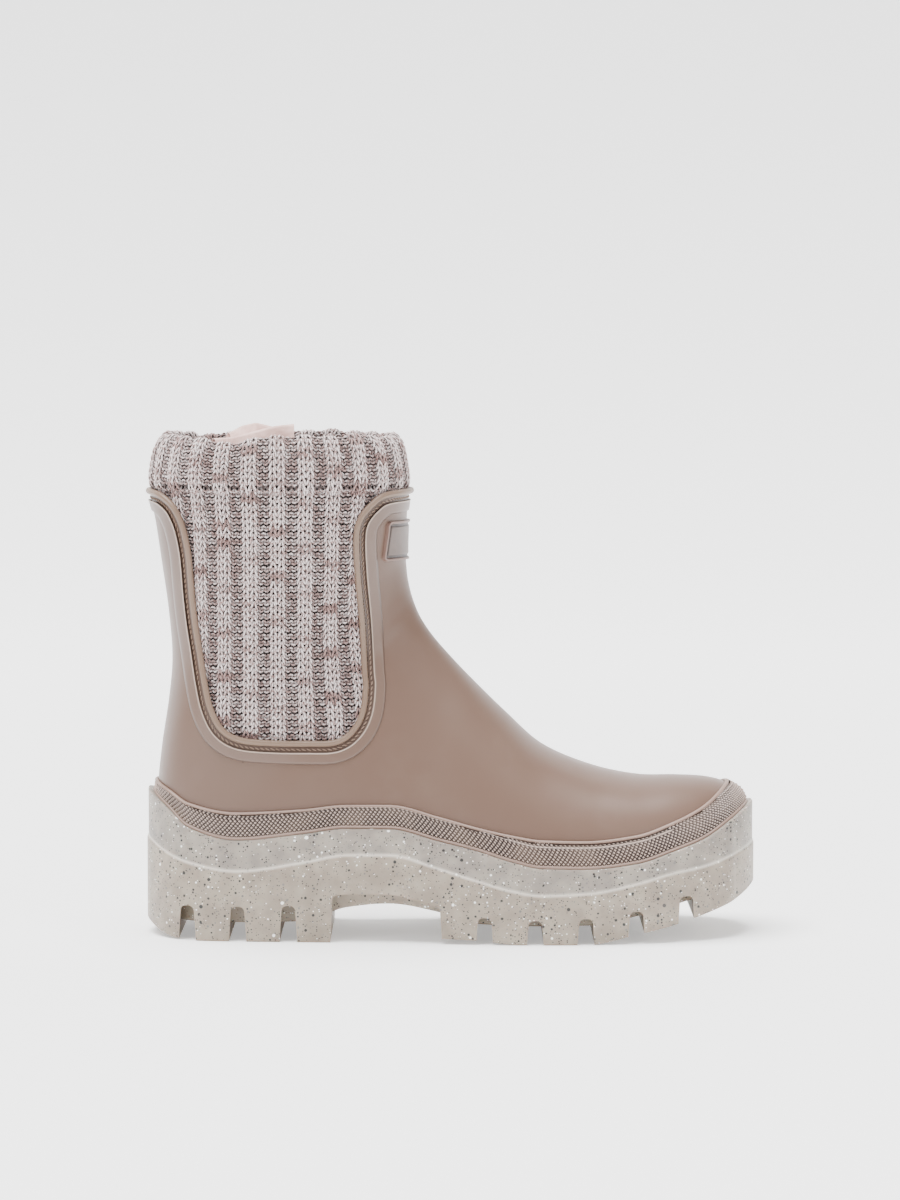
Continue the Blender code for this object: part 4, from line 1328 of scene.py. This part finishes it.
@dataclass
class ShaftChart:
    """A chart of the shaft: level loops of the form, measured round from a place of zero."""

    bottom: float = 0.080
    top: float = 0.236
    levels: int = 72
    samples: int = 260
    columns: int = 720
    zero: float = 0.0618
    loops: np.ndarray = field(init=False)
    lengths: np.ndarray = field(init=False)

    def __post_init__(self) -> None:
        """Measure the level loops, from the zero place on the outer side towards the toe."""
        place = np.linspace(0.0, FORM.last, 2500)
        row = FORM.section(place, 0.0)
        heights = np.linspace(self.bottom, self.top, self.levels)
        rear = place > 12.0
        back = np.interp(heights, row[rear, 1], row[rear, 0])
        front_rows = place > 5.0
        front = np.interp(heights, row[front_rows, 3], row[front_rows, 2])
        phase = np.linspace(0.0, math.pi, self.samples)
        x = (back + front)[:, None] / 2.0 - (front - back)[:, None] / 2.0 * np.cos(phase)[None]
        z = np.broadcast_to(heights[:, None], x.shape)
        outer = FORM.lift(x, z, Side.OUTER.value, 0.0)
        inner = FORM.lift(x, z, Side.INNER.value, 0.0)
        loops, lengths = [], []
        for k in range(self.levels):
            ring = np.vstack([outer[k], inner[k][-2::-1]])
            reach = np.concatenate([[0.0], np.cumsum(
                np.linalg.norm(np.diff(ring, axis=0), axis=1))])
            start = np.interp(self.zero - FORM.shift, outer[k][:, 0], reach[:self.samples])
            marks = (np.linspace(0.0, reach[-1], self.columns + 1) + start) % reach[-1]
            loops.append(np.column_stack([np.interp(marks, reach, c) for c in ring.T]))
            lengths.append(reach[-1])
        self.loops = np.stack(loops)
        self.loops[:, :, 2] = heights[:, None]
        self.lengths = np.array(lengths)

    def length(self, z: np.ndarray) -> np.ndarray:
        """Return how long the level loop is at each height."""
        return np.interp(z, np.linspace(self.bottom, self.top, self.levels), self.lengths)

    def inner_zero(self, z: np.ndarray) -> np.ndarray:
        """Return how far round the zero length of the inner side is at each height."""
        heights = np.linspace(self.bottom, self.top, self.levels)
        half = self.columns // 4
        found = []
        for k in range(self.levels):
            ring = self.loops[k]
            part = slice(half, self.columns - half // 2)
            order = np.argsort(ring[part, 0])
            found.append(np.interp(self.zero - FORM.shift, ring[part, 0][order],
                                   np.arange(self.columns)[part][order]))
        return np.interp(z, heights, np.array(found) / self.columns)

    def place(self, turn: np.ndarray, z: np.ndarray, out: np.ndarray) -> np.ndarray:
        """Return points on the chart.

        Args:
            turn: Shares of the way round.
            z: Heights.
            out: How far out from the shell's surface, level.

        Returns:
            The points.
        """
        row = np.clip((z - self.bottom) / (self.top - self.bottom), 0.0, 1.0) * (self.levels - 1)
        r0 = np.minimum(row.astype(int), self.levels - 2)
        v = (row - r0)[..., None]
        column = (turn % 1.0) * self.columns
        c0 = np.minimum(column.astype(int), self.columns - 1)
        u = (column - c0)[..., None]
        ring = self.loops

        def read(shift: int) -> np.ndarray:
            """Read the chart some columns along."""
            a = (c0 + shift) % self.columns
            b = (a + 1) % self.columns
            low = ring[r0, a] * (1 - u) + ring[r0, b] * u
            high = ring[r0 + 1, a] * (1 - u) + ring[r0 + 1, b] * u
            return low * (1 - v) + high * v

        point = read(0)
        tangent = read(3) - read(-3)
        normal = np.stack([tangent[..., 1], -tangent[..., 0], 0.0 * tangent[..., 0]], axis=-1)
        normal /= np.linalg.norm(normal, axis=-1, keepdims=True)
        point = point + normal * out[..., None]
        point[..., 2] = z
        return point


CHART = ShaftChart()


class KnitPath:
    """Where a knitted layer lies: courses climb a profile of heights and reaches outwards."""

    def __init__(self, profile: Sequence[tuple[float, float]], course: float) -> None:
        """Space courses evenly along a profile.

        Args:
            profile: Heights and reaches out from the shell's surface, in millimetres.
            course: The distance between courses, in metres.
        """
        fine = np.array(profile) / 1000.0
        padded = np.vstack([2.0 * fine[0] - fine[1], fine, 2.0 * fine[-1] - fine[-2]])
        curve = rounded_table(padded, np.linspace(0.0, len(fine) - 1.0, 400))
        self.reach = np.concatenate([[0.0], np.cumsum(
            np.linalg.norm(np.diff(curve, axis=0), axis=1))])
        self.curve = curve
        slope = np.gradient(curve, self.reach, axis=0)
        self.normal = np.column_stack([-slope[:, 1], slope[:, 0]])
        self.count = max(int(round(self.reach[-1] / course)), 1)
        self.marks = (np.arange(self.count) + 0.5) * self.reach[-1] / self.count

    def place(self, mark: np.ndarray, depth: np.ndarray) -> tuple[np.ndarray, np.ndarray]:
        """Return heights and reaches for marks along the profile and depths off it."""
        spill = mark - np.clip(mark, 0.0, self.reach[-1])
        z, out, nz, no = (np.interp(mark, self.reach, column) for column in
                          (*self.curve.T, *self.normal.T))
        return z + nz * depth + spill * no, out + no * depth - spill * nz


@dataclass
class RibKnit:
    """Two-by-two rib fabric built stitch by stitch from one looping yarn a course."""

    finish: MarledYarn
    backing: KnitBacking
    repeats: int = 26
    knit_share: float = 0.585
    course: float = 0.00308
    yarn: float = 0.00052
    rise: float = 0.00290
    loop_depth: float = 0.00084
    lean: float = 0.262
    relief: float = 0.00062
    steps: int = 14
    sides: int = 6
    ring_height: float = 0.1880
    low_repeat: float = 0.01290
    low_height: float = 0.0950
    under_bead: float = 0.0016
    cuff_profile: tuple[tuple[float, float], ...] = (
        (205.6, -2.3), (208.0, -1.6), (212.0, -1.2), (218.0, -1.1), (223.0, -1.4), (226.2, -2.4),
        (228.0, -4.1), (227.7, -6.0), (225.2, -7.4), (221.0, -8.0), (216.0, -8.2), (211.0, -8.3))

    def _wave(self, turn: np.ndarray) -> np.ndarray:
        """Return how much higher the cuff's uneven rim stands, by way round."""
        wobble = (0.0007 * np.sin(TAU * 3.0 * turn + 0.6) + 0.0005 * np.sin(TAU * 7.0 * turn + 2.1)
                  + 0.0004 * np.sin(TAU * 13.0 * turn + 4.0))
        far = 0.0020 * np.exp(-((turn - 0.49) / 0.035) ** 2)
        dip = -0.0016 * np.exp(-((turn - 0.94) / 0.05) ** 2)
        return wobble + far + dip

    def _turn(self, wale: np.ndarray, z: np.ndarray, side: Union[Side, None]) -> np.ndarray:
        """Return the way round the chart of a place counted in rib repeats.

        Args:
            wale: Places in repeats from the chart's zero.
            z: Heights.
            side: The side panel that it is in, or None in a full ring.

        Returns:
            Shares of the way round.
        """
        if side is None:
            return wale / self.repeats
        height = np.minimum(z, self.ring_height)
        top = float(CHART.length(np.array([self.ring_height]))[0]) / self.repeats
        share = (height - self.low_height) / (self.ring_height - self.low_height)
        repeat = self.low_repeat + (top - self.low_repeat) * share
        if side is Side.OUTER:
            return wale * repeat / CHART.length(height)
        start = float(CHART.inner_zero(np.array([self.ring_height]))[0]) * self.repeats
        return CHART.inner_zero(height) + (wale - start) * repeat / CHART.length(height)

    def _line(self, first: int, count: int, noise: np.random.Generator) -> np.ndarray:
        """Return the middle line of one course's yarn.

        Args:
            first: Its first wale; four wales make a repeat.
            count: How many wales it crosses.
            noise: Source of the small unevenness of each stitch.

        Returns:
            Rows of place in repeats, height, depth, thickness and wale number.
        """
        q = first + np.arange(count * self.steps + 1) / self.steps
        wale = np.floor(q + 1e-9)
        theta = TAU * (q - wale)
        uneven = noise.normal(size=(count + 2, 4))
        index = np.clip((wale - first).astype(int), 0, count)
        local = uneven[index] * (0.5 - 0.5 * np.cos(theta))[:, None]
        bent = q + (self.lean + 0.018 * local[:, 0]) * np.sin(2.0 * theta)
        whole = np.floor(bent / 4.0)
        part = bent - 4.0 * whole
        knit = self.knit_share
        place = whole + np.where(part < 2.0, part * knit / 2.0,
                                 knit + (part - 2.0) * (1.0 - knit) / 2.0) - knit / 2.0
        cycle = q % 4.0
        to_purl = smoothstep(1.80, 2.20, cycle)
        to_knit = smoothstep(3.80, 4.20, np.where(cycle < 1.0, cycle + 4.0, cycle))
        turn = 1.0 - 2.0 * to_purl + 2.0 * np.where(cycle > 3.0, to_knit, 0.0)
        turn = np.where(cycle < 1.0, 2.0 * to_knit - 1.0, turn)
        height = self.rise * np.cos(theta) * (1.0 + 0.05 * local[:, 1])
        height = height * np.where(turn > 0.0, 1.0, 0.86)
        depth = -self.loop_depth * turn * np.cos(2.0 * theta) + 0.00008 * local[:, 2]
        depth += self.relief * np.cos(TAU * place)
        thickness = self.yarn * (1.0 + 0.06 * local[:, 3]) * np.where(turn > 0.0, 1.0, 0.95)
        return np.column_stack([place, height, depth, thickness, wale])

    def _marl(self, place: np.ndarray, row: np.ndarray, wale: np.ndarray) -> np.ndarray:
        """Return how brown the yarn is: rose-brown patches stacked along each rib."""
        rib = np.round(place).astype(int)
        chance = np.modf(np.abs(np.sin(rib * 12.9898 + np.floor(row / 6.6 + 0.37 * rib) * 78.233)
                                * 43758.5453))[0]
        phase = np.modf(row / 6.6 + 0.37 * rib + 60.0)[0]
        patch = (smoothstep(0.0, 0.10, phase) * (1.0 - smoothstep(0.22, 0.34, phase))
                 * (0.35 + 0.65 * chance))
        single = np.modf(np.abs(np.sin(wale * 3.173 + np.round(row) * 7.719) * 24634.6345))[0]
        purl = wale % 4 >= 2
        return np.where(purl, 0.36 + 0.34 * single, 0.20 + 0.62 * patch + 0.16 * single)

    def _fabric(self, name: str, rows: Sequence[tuple[float, int, int, Union[Side, None]]],
                path: Union[KnitPath, None]) -> bpy.types.Mesh:
        """Knit a set of courses.

        Args:
            name: The mesh's name.
            rows: For each course its height or mark, first wale, count of wales and side.
            path: The profile that marks count along, or None for the panel's own.

        Returns:
            The yarn's mesh, with its attributes stored.
        """
        noise = np.random.default_rng(len(rows) * 7 + len(name))
        angle = np.linspace(0.0, TAU, self.sides + 1)
        angle[-1] = 0.0
        width = 0.0133
        places, stored = [], []
        for number, (level, first, count, side) in enumerate(rows):
            line = self._line(first, count, noise)
            middle = line[:, :3] * np.array([width, 1.0, 1.0])
            tangent = np.gradient(middle, axis=0)
            tangent /= np.linalg.norm(tangent, axis=1)[:, None]
            up = np.array([0.0, 0.0, 1.0]) - tangent * tangent[:, 2:3]
            up /= np.linalg.norm(up, axis=1)[:, None]
            across = np.cross(tangent, up)
            taper = np.ones(len(line))
            if side is not None:
                taper[[0, -1]] = 0.0
            reach = (line[:, 3] * taper)[:, None, None]
            tube = middle[:, None] + reach * (np.cos(angle)[None, :, None] * across[:, None]
                                              + np.sin(angle)[None, :, None] * up[:, None])
            row = level / self.course
            if path is None:
                z = level + tube[..., 1]
                turn = self._turn(tube[..., 0] / width, z, side)
                out = self._rest(z, tube[..., 0] / width, side) + tube[..., 2]
            else:
                turn = tube[..., 0] / width / self.repeats
                z, out = path.place(level + tube[..., 1], tube[..., 2])
                z = z + self._wave(turn) * smoothstep(0.2080, 0.2270, z)
            places.append(CHART.place(turn, z, out))
            along = np.concatenate([[0.0], np.cumsum(np.linalg.norm(
                np.diff(middle, axis=0), axis=1))]) + 0.37 * number
            marl = self._marl(line[:, 0], row + 0.6 * line[:, 1] / self.course, line[:, 4])
            # painted shade for the yarn: darker where it lies deeper, and darker still on the tube's
            # sides
            painted_recess_shade = 1.0 - smoothstep(-0.0011, 0.0012, tube[..., 2])
            painted_flank_shade = 1.0 - smoothstep(-0.10, 0.80, np.sin(angle))[None, :]
            painted_recess_shade = 1.0 - (1.0 - 0.95 * painted_recess_shade) * (1.0 - 0.85 * painted_flank_shade)
            shape = tube.shape[:2]
            stored.append(np.stack([
                np.broadcast_to(along[:, None], shape), np.broadcast_to(angle / TAU, shape),
                np.broadcast_to(marl[:, None], shape), painted_recess_shade], axis=-1))
        data = bmesh.new()
        for points in places:
            part = draped_grid(points)
            scratch = to_mesh("course", part)
            data.from_mesh(scratch)
            bpy.data.meshes.remove(scratch)
        mesh = to_mesh(name, data)
        values = np.concatenate([part.reshape(-1, 4) for part in stored])
        for number, key in enumerate(("along", "around", "marl", "depth")):
            store(mesh, key, values[:, number])
        data = bmesh.new()
        data.from_mesh(mesh)
        bmesh.ops.remove_doubles(data, verts=data.verts, dist=1e-7)
        bmesh.ops.recalc_face_normals(data, faces=data.faces)
        return to_mesh(name, data)

    def _rest(self, z: np.ndarray, wale: np.ndarray, side: Union[Side, None]) -> np.ndarray:
        """Return how far out the panel's fabric lies: full in the middle, tucked at the top."""
        full = smoothstep(0.0910, 0.1080, z) * (1.0 - smoothstep(0.1930, 0.2040, z))
        return -0.0036 + 0.0009 * full

    def _panel_rows(self, side: Side) -> list[tuple[float, int, int, Union[Side, None]]]:
        """Return the courses of one side's opening, each just long enough to pass the bead."""
        curve = FORM.collar_curve(self.under_bead, 900)
        bottom = int(curve[:, 1].argmin())
        low = float(curve[bottom, 1])
        rows: list[tuple[float, int, int, Union[Side, None]]] = []
        count = int(math.ceil((self.ring_height - low) / self.course)) + 1
        for k in range(count):
            z = self.ring_height - (k + 0.5) * self.course
            reach_z = max(z + 0.5 * self.course, low + 0.0004)
            rear, front = curve[:bottom], curve[bottom:]
            ends = (np.interp(-reach_z, -rear[:, 1], rear[:, 0]),
                    np.interp(reach_z, front[:, 1], front[:, 0]))
            ring = np.linspace(-0.25, 0.25, 1500)
            if side is Side.INNER:
                ring = ring + CHART.inner_zero(np.array([z]))[0]
            found = CHART.place(ring, np.full(ring.shape, z), np.zeros(ring.shape))
            x = found[:, 0] + FORM.shift
            inside = (x > ends[0] - 0.0012) & (x < ends[1] + 0.0012)
            wales = self._unturn(ring[inside], z, side)
            first = int(math.floor(4.0 * float(wales.min()) + 2.0 * self.knit_share))
            last = int(math.ceil(4.0 * float(wales.max()) + 2.0 * self.knit_share))
            rows.append((z, first, last - first, side))
        return rows

    def _unturn(self, turn: np.ndarray, z: float, side: Side) -> np.ndarray:
        """Return places in repeats for ways round the chart at one height."""
        probe = np.linspace(-10.0, 40.0, 5001)
        return np.interp(turn, self._turn(probe, np.full(probe.shape, z), side), probe)

    def _sock(self) -> bpy.types.Mesh:
        """Build the lining sheet behind the stitches, down to the toe."""
        place = np.linspace(1.2, 23.9, 150)[:, None]
        angle = np.linspace(0.0, TAU, 181)[None, :]
        angle = np.where(angle >= TAU - 1e-9, 0.0, angle)
        place, angle = np.broadcast_arrays(place, angle)
        points = FORM.point(place, angle, -0.0056)
        rise = points[..., 2]
        points[..., 2] = np.minimum(rise, 0.2265)
        low = rise.reshape(-1) < FORM.line("floor", points[..., 0].reshape(-1) + FORM.shift)
        mesh = to_mesh("knit_lining", draped_grid(points))
        layer = mesh.uv_layers.new(name="UVMap")
        loops = np.empty(len(mesh.loops), dtype=np.int32)
        mesh.loops.foreach_get("vertex_index", loops)
        flat = vertices(mesh)
        turn = angle.reshape(-1) / TAU
        uv = np.column_stack([turn * 0.0133 * self.repeats, flat[:, 2]])[loops]
        layer.data.foreach_set("uv", uv.reshape(-1))
        data = bmesh.new()
        data.from_mesh(mesh)
        data.verts.ensure_lookup_table()
        bmesh.ops.delete(data, geom=[v for v, drop in zip(data.verts, low) if drop],
                         context="VERTS")
        bmesh.ops.remove_doubles(data, verts=data.verts, dist=1e-6)
        bmesh.ops.recalc_face_normals(data, faces=data.faces)
        return to_mesh("knit_lining", data)

    def build(self) -> None:
        """Knit and dress the panels, the ring under the cuff and the folded cuff."""
        yarn = self.finish.material()
        add_piece("knit_lining", self._sock(), self.backing.material(), ("knit_liner",))
        for side in Side:
            rows = self._panel_rows(side)
            add_piece(f"knit_panel_{side.name.lower()}", self._fabric("panel", rows, None),
                      yarn, (), 80.0)
        whole = 4 * self.repeats
        ring = [(self.ring_height + (k + 0.5) * self.course, 0, whole, None) for k in range(6)]
        add_piece("knit_ring", self._fabric("ring", ring, None), yarn, (), 80.0)
        path = KnitPath(self.cuff_profile, self.course)
        rows = [(float(mark), 0, whole, None) for mark in path.marks]
        half = len(rows) // 2
        add_piece("knit_cuff_outside", self._fabric("cuff_outside", rows[:half], path),
                  yarn, ("knit_cuff",), 80.0)
        add_piece("knit_cuff_inside", self._fabric("cuff_inside", rows[half:], path),
                  yarn, (), 80.0)


@dataclass
class Badge:
    """The framed patch that wraps round the front of the shaft, left blank."""

    width: float = 0.0505
    height: float = 0.0186
    drop: float = 0.0240
    corner: float = 0.0025
    columns: int = 150
    rows: int = 56
    rim_width: float = 0.0014
    border_width: float = 0.0013
    rim: Colour = srgb(118, 92, 82)
    painted_groove_shade: Colour = srgb(44, 32, 30)
    panel: Colour = srgb(88, 71, 63)

    def _front(self, z: float) -> tuple[float, float]:
        """Return where round the chart the front is, and half of the patch's way round."""
        ring = CHART.place(np.linspace(0.0, 1.0, 2001)[:-1], np.full(2000, z), np.zeros(2000))
        front = int(ring[:, 0].argmax())
        wide = np.flatnonzero((np.abs(ring[:, 1]) < self.width / 2.0) & (ring[:, 0] > -0.06))
        return front / 2000.0, len(wide) / 4000.0

    def build(self) -> None:
        """Build and dress the patch."""
        middle = FORM.lip_height - self.drop
        front, half_turn = self._front(middle)
        half = half_turn * float(CHART.length(np.array([middle]))[0])
        tall = self.height / 2.0
        s = np.sign(np.linspace(-1, 1, self.columns)) * half * (
            1.0 - (1.0 - np.abs(np.linspace(-1, 1, self.columns))) ** 1.25)
        t = np.linspace(-tall, tall, self.rows)
        s, t = np.meshgrid(s, t)
        inner_s = np.abs(s) - (half - self.corner)
        inner_t = np.abs(t) - (tall - self.corner)
        outside = np.hypot(np.maximum(inner_s, 0.0), np.maximum(inner_t, 0.0)) - self.corner
        inside = np.minimum(np.maximum(inner_s, inner_t), 0.0)
        edge = -(outside + np.where(np.maximum(inner_s, inner_t) < 0.0, inside, 0.0))
        pull = np.maximum(-edge, 0.0)
        corner = (inner_s > 0.0) & (inner_t > 0.0)
        reach = np.maximum(np.hypot(inner_s, inner_t), 1e-9)
        s = np.where(corner, np.sign(s) * (np.abs(s) - inner_s / reach * pull), s)
        t = np.where(corner, np.sign(t) * (np.abs(t) - inner_t / reach * pull), t)
        edge = np.maximum(edge, 0.0)
        a, b = self.rim_width, self.rim_width + self.border_width
        rise = (-0.0004 + 0.0019 * smoothstep(0.0, 0.0003, edge)
                - 0.0008 * smoothstep(a - 0.0002, a + 0.0002, edge)
                + 0.0005 * smoothstep(b - 0.0002, b + 0.0002, edge))
        points = CHART.place(front + s / (2.0 * half) * 2.0 * half_turn, middle + t, rise)
        data = draped_grid(points)
        bmesh.ops.recalc_face_normals(data, faces=data.faces)
        nose = max(data.faces, key=lambda f: f.calc_center_median().x)
        if nose.normal.x < 0.0:
            bmesh.ops.reverse_faces(data, faces=data.faces)
        mesh = to_mesh("badge_patch", data)
        store(mesh, "rim", 1.0 - smoothstep(a - 0.0002, a + 0.0001, edge.reshape(-1)))
        store(mesh, "panel", smoothstep(b - 0.0001, b + 0.0002, edge.reshape(-1)))
        shader = Shader("badge rubber", 0.42, Coat_Weight=0.08, Coat_Roughness=0.3)
        # painted shade in the recessed groove inside the rim
        tone = shader.mix(shader.stored("panel"), self.painted_groove_shade, self.panel)
        tone = shader.mix(shader.stored("rim"), tone, self.rim)
        cloud = shader.noise(300.0, 3.0)
        tone = shader.mix(cloud.step(0.45, 0.8) * 0.25, tone, srgb(124, 104, 95))
        add_piece("badge_patch", mesh, shader.feed(
            Base_Color=tone, Roughness=0.36 + 0.16 * cloud,
            Normal=shader.bump(shader.noise(2600.0), 0.000015)), ("badge",), 35.0)


@dataclass
class FoldedLoop:
    """The small folded satin loop that is sewn inside the cuff, left blank."""

    finish: SatinCloth
    columns: int = 30
    rows: int = 26
    wall: float = 0.0385
    cloth: float = 0.0004

    def _fold(self, name: str, start: float, end: float, tops: Sequence[float], near: float,
              depth: float, foot: float) -> bpy.types.Mesh:
        """Fold one strip over a rounded top edge.

        Args:
            name: The mesh's name.
            start: Where it starts, from the back of the heel.
            end: Where it ends.
            tops: Heights of its folded edge, evenly spaced from start to end.
            near: How far its near layer is from the middle of the boot.
            depth: How far apart its two layers are at the foot.
            foot: The height of its foot.

        Returns:
            The folded strip.
        """
        u = np.linspace(0.0, 1.0, self.columns)[None, :]
        v = np.linspace(-1.0, 1.0, self.rows)[:, None]
        top = np.interp(u, np.linspace(0.0, 1.0, len(tops)), tops)
        ripple = 0.0009 * np.sin(TAU * 1.3 * u + 0.8) + 0.0005 * np.sin(TAU * 3.1 * u + 2.0)
        width = 0.0013 + (depth / 2.0 - 0.0013) * (np.abs(v) ** 2.2)
        y = near + depth / 2.0 + np.sign(v) * width * np.minimum(np.abs(v) * 4.0, 1.0) + ripple
        y = y - (near + self.wall) * np.abs(v) ** 3
        z = foot + (top - foot) * (1.0 - np.abs(v) ** 2.6) ** 0.5
        x = start + (end - start) * u - 0.0022 * v * (1.0 - u) - FORM.shift + 0.0 * v
        z = z - 0.0007 * np.cos(TAU * 0.5 * u) * (1.0 - np.abs(v))
        data = draped_grid(np.stack(np.broadcast_arrays(x, y, z), axis=-1))
        bmesh.ops.recalc_face_normals(data, faces=data.faces)
        bmesh.ops.solidify(data, geom=data.faces, thickness=self.cloth)
        bmesh.ops.recalc_face_normals(data, faces=data.faces)
        return to_mesh(name, data)

    def build(self) -> None:
        """Build and dress the loop's two folds."""
        satin = self.finish.material()
        add_piece("satin_loop_front", self._fold(
            "front", 0.0325, 0.0690, (0.2288, 0.2292, 0.2313, 0.2332, 0.2340), -0.036, 0.008,
            0.2040), satin, (), 50.0)
        add_piece("satin_loop_back", self._fold(
            "back", 0.0390, 0.0640, (0.2310, 0.2342, 0.2352, 0.2332, 0.2316), -0.030, 0.008,
            0.2040), satin, (), 50.0)


@dataclass
class Insole:
    """The felt footbed inside the sock."""

    finish: Felt
    thickness: float = 0.0045
    inset: float = 0.0062
    count: int = 90

    def build(self) -> None:
        """Build and dress the footbed as a level-topped pad with a rounded edge."""
        rows = []
        for inset, share in ((0.0, 0.0), (0.0, 0.7), (0.0004, 0.88), (0.0011, 0.98),
                             (0.0020, 1.0)):
            loop = FORM.plan_outline([-self.inset - inset], self.count)[0]
            height = FORM.line("floor", loop[:, 0]) + 0.0003 + share * self.thickness
            rows.append(np.column_stack([loop[:, 0] - FORM.shift, loop[:, 1], height]))
        points = np.stack(rows)
        data = draped_grid(np.concatenate([points, points[:, :1]], axis=1), True)
        for number, rim in enumerate(CupSole.boundary_loops(data)):
            CupSole.close_across(data, rim, 0)
        face_outwards(data)
        add_piece("insole_pad", to_mesh("insole_pad", data),
                  self.finish.material(), ("insole",), 45.0)


@dataclass
class Studio:
    """Camera, floor and soft light, as in the photograph."""

    distance: float = 2.0
    elevation: float = 3.8
    frame_height: float = 0.5526
    target: tuple[float, float, float] = (-0.0005, 0.0, 0.1528)
    pale: Colour = srgb(238, 238, 238)
    sweep_size: float = 7.0
    sweep_start: float = 1.8
    sweep_radius: float = 1.4
    floor_glow: float = 0.45
    overhead: float = 10.2
    overhead_spread: float = 50.0

    def camera(self) -> None:
        """Set the camera at the photograph's angle."""
        tilt = math.radians(self.elevation)
        data = bpy.data.cameras.new("camera")
        data.sensor_fit = "VERTICAL"
        data.sensor_height = 36.0
        data.lens = data.sensor_height * self.distance / self.frame_height
        data.dof.use_dof = False
        camera = bpy.data.objects.new("camera", data)
        bpy.context.scene.collection.objects.link(camera)
        camera.location = Vector(self.target) + self.distance * Vector(
            (0.0, -math.cos(tilt), math.sin(tilt)))
        camera.rotation_euler = (math.pi / 2.0 - tilt, 0.0, 0.0)
        bpy.context.scene.camera = camera

    def floor(self) -> None:
        """Lay a pale floor that sweeps up into the background."""
        data = bmesh.new()
        bmesh.ops.create_grid(data, x_segments=2, y_segments=120, size=self.sweep_size)
        for vert in data.verts:
            run = max(vert.co.y - self.sweep_start, 0.0)
            turn = min(run / self.sweep_radius, math.pi / 2.0)
            if run > 0.0:
                rest = run - turn * self.sweep_radius
                vert.co.y = self.sweep_start + self.sweep_radius * math.sin(turn)
                vert.co.z = self.sweep_radius * (1.0 - math.cos(turn)) + rest
        mesh = to_mesh("floor", data)
        mesh.polygons.foreach_set("use_smooth", np.ones(len(mesh.polygons), dtype=bool))
        shader = Shader("pale floor", 0.9, Specular_IOR_Level=0.1,
                        Emission_Strength=self.floor_glow)
        mesh.materials.append(shader.feed(Base_Color=self.pale, Emission_Color=(1.0, 1.0, 1.0, 1.0)))
        floor = bpy.data.objects.new("floor", mesh)
        bpy.context.scene.collection.objects.link(floor)

    def _lamp(self, name: str, place: tuple[float, float, float], size: tuple[float, float],
              watts: float, aim: tuple[float, float, float] = (0.0, 0.0, 0.1)) -> None:
        """Hang one soft panel of light.

        Args:
            name: The lamp's name.
            place: Where it hangs.
            size: Its width and height.
            watts: Its power.
            aim: What it points at.
        """
        data = bpy.data.lights.new(name, "AREA")
        data.shape = "RECTANGLE"
        data.size, data.size_y = size
        data.energy = watts
        lamp = bpy.data.objects.new(name, data)
        bpy.context.scene.collection.objects.link(lamp)
        lamp.location = place
        lamp.rotation_euler = (Vector(aim) - Vector(place)).to_track_quat("-Z", "Y").to_euler()

    def lights(self) -> None:
        """Hang the lamps and set an even pale surround."""
        self._lamp("front_left_softbox", (-1.2, -1.5, 1.1), (1.0, 1.2), 14.0)
        self._lamp("right_softbox", (1.3, -1.1, 0.8), (1.0, 1.0), 12.0)
        sun = bpy.data.lights.new("overhead_diffuser", "SUN")
        sun.energy = self.overhead
        sun.angle = math.radians(self.overhead_spread)
        lamp = bpy.data.objects.new("overhead_diffuser", sun)
        bpy.context.scene.collection.objects.link(lamp)
        lamp.rotation_euler = Vector((0.18, 0.05, -1.0)).to_track_quat("-Z", "Y").to_euler()
        world = bpy.data.worlds.new("pale surround")
        world.use_nodes = True
        backdrop = world.node_tree.nodes["Background"]
        backdrop.inputs["Color"].default_value = srgb(235, 235, 235)
        backdrop.inputs["Strength"].default_value = 0.45
        bpy.context.scene.world = world

    def build(self) -> None:
        """Set the camera, the floor and the lamps."""
        self.camera()
        self.floor()
        self.lights()


def main() -> None:
    """Build the boot piece by piece."""
    logging.basicConfig(level=logging.INFO, format="%(name)s: %(message)s")
    Studio().build()
    shell = MouldedRubber("taupe rubber", srgb(101, 80, 69), srgb(111, 92, 81), 0.38, 0.06)
    edge = MouldedRubber("edge rubber", srgb(132, 109, 98), srgb(144, 124, 113), 0.40)
    knurled = MouldedRubber("knurled rubber", srgb(134, 112, 98), srgb(148, 128, 114), 0.50, 0.04)
    bead = MouldedRubber("bead rubber", srgb(118, 97, 82), srgb(130, 110, 95), 0.40)
    Shell(shell, bead).build()
    Rand(knurled, edge).build()
    CupSole(SpeckledRubber()).build()
    Badge().build()
    Insole(Felt()).build()
    FoldedLoop(SatinCloth()).build()
    RibKnit(MarledYarn("marled yarn"), KnitBacking()).build()


if __name__ == "__main__":
    main()
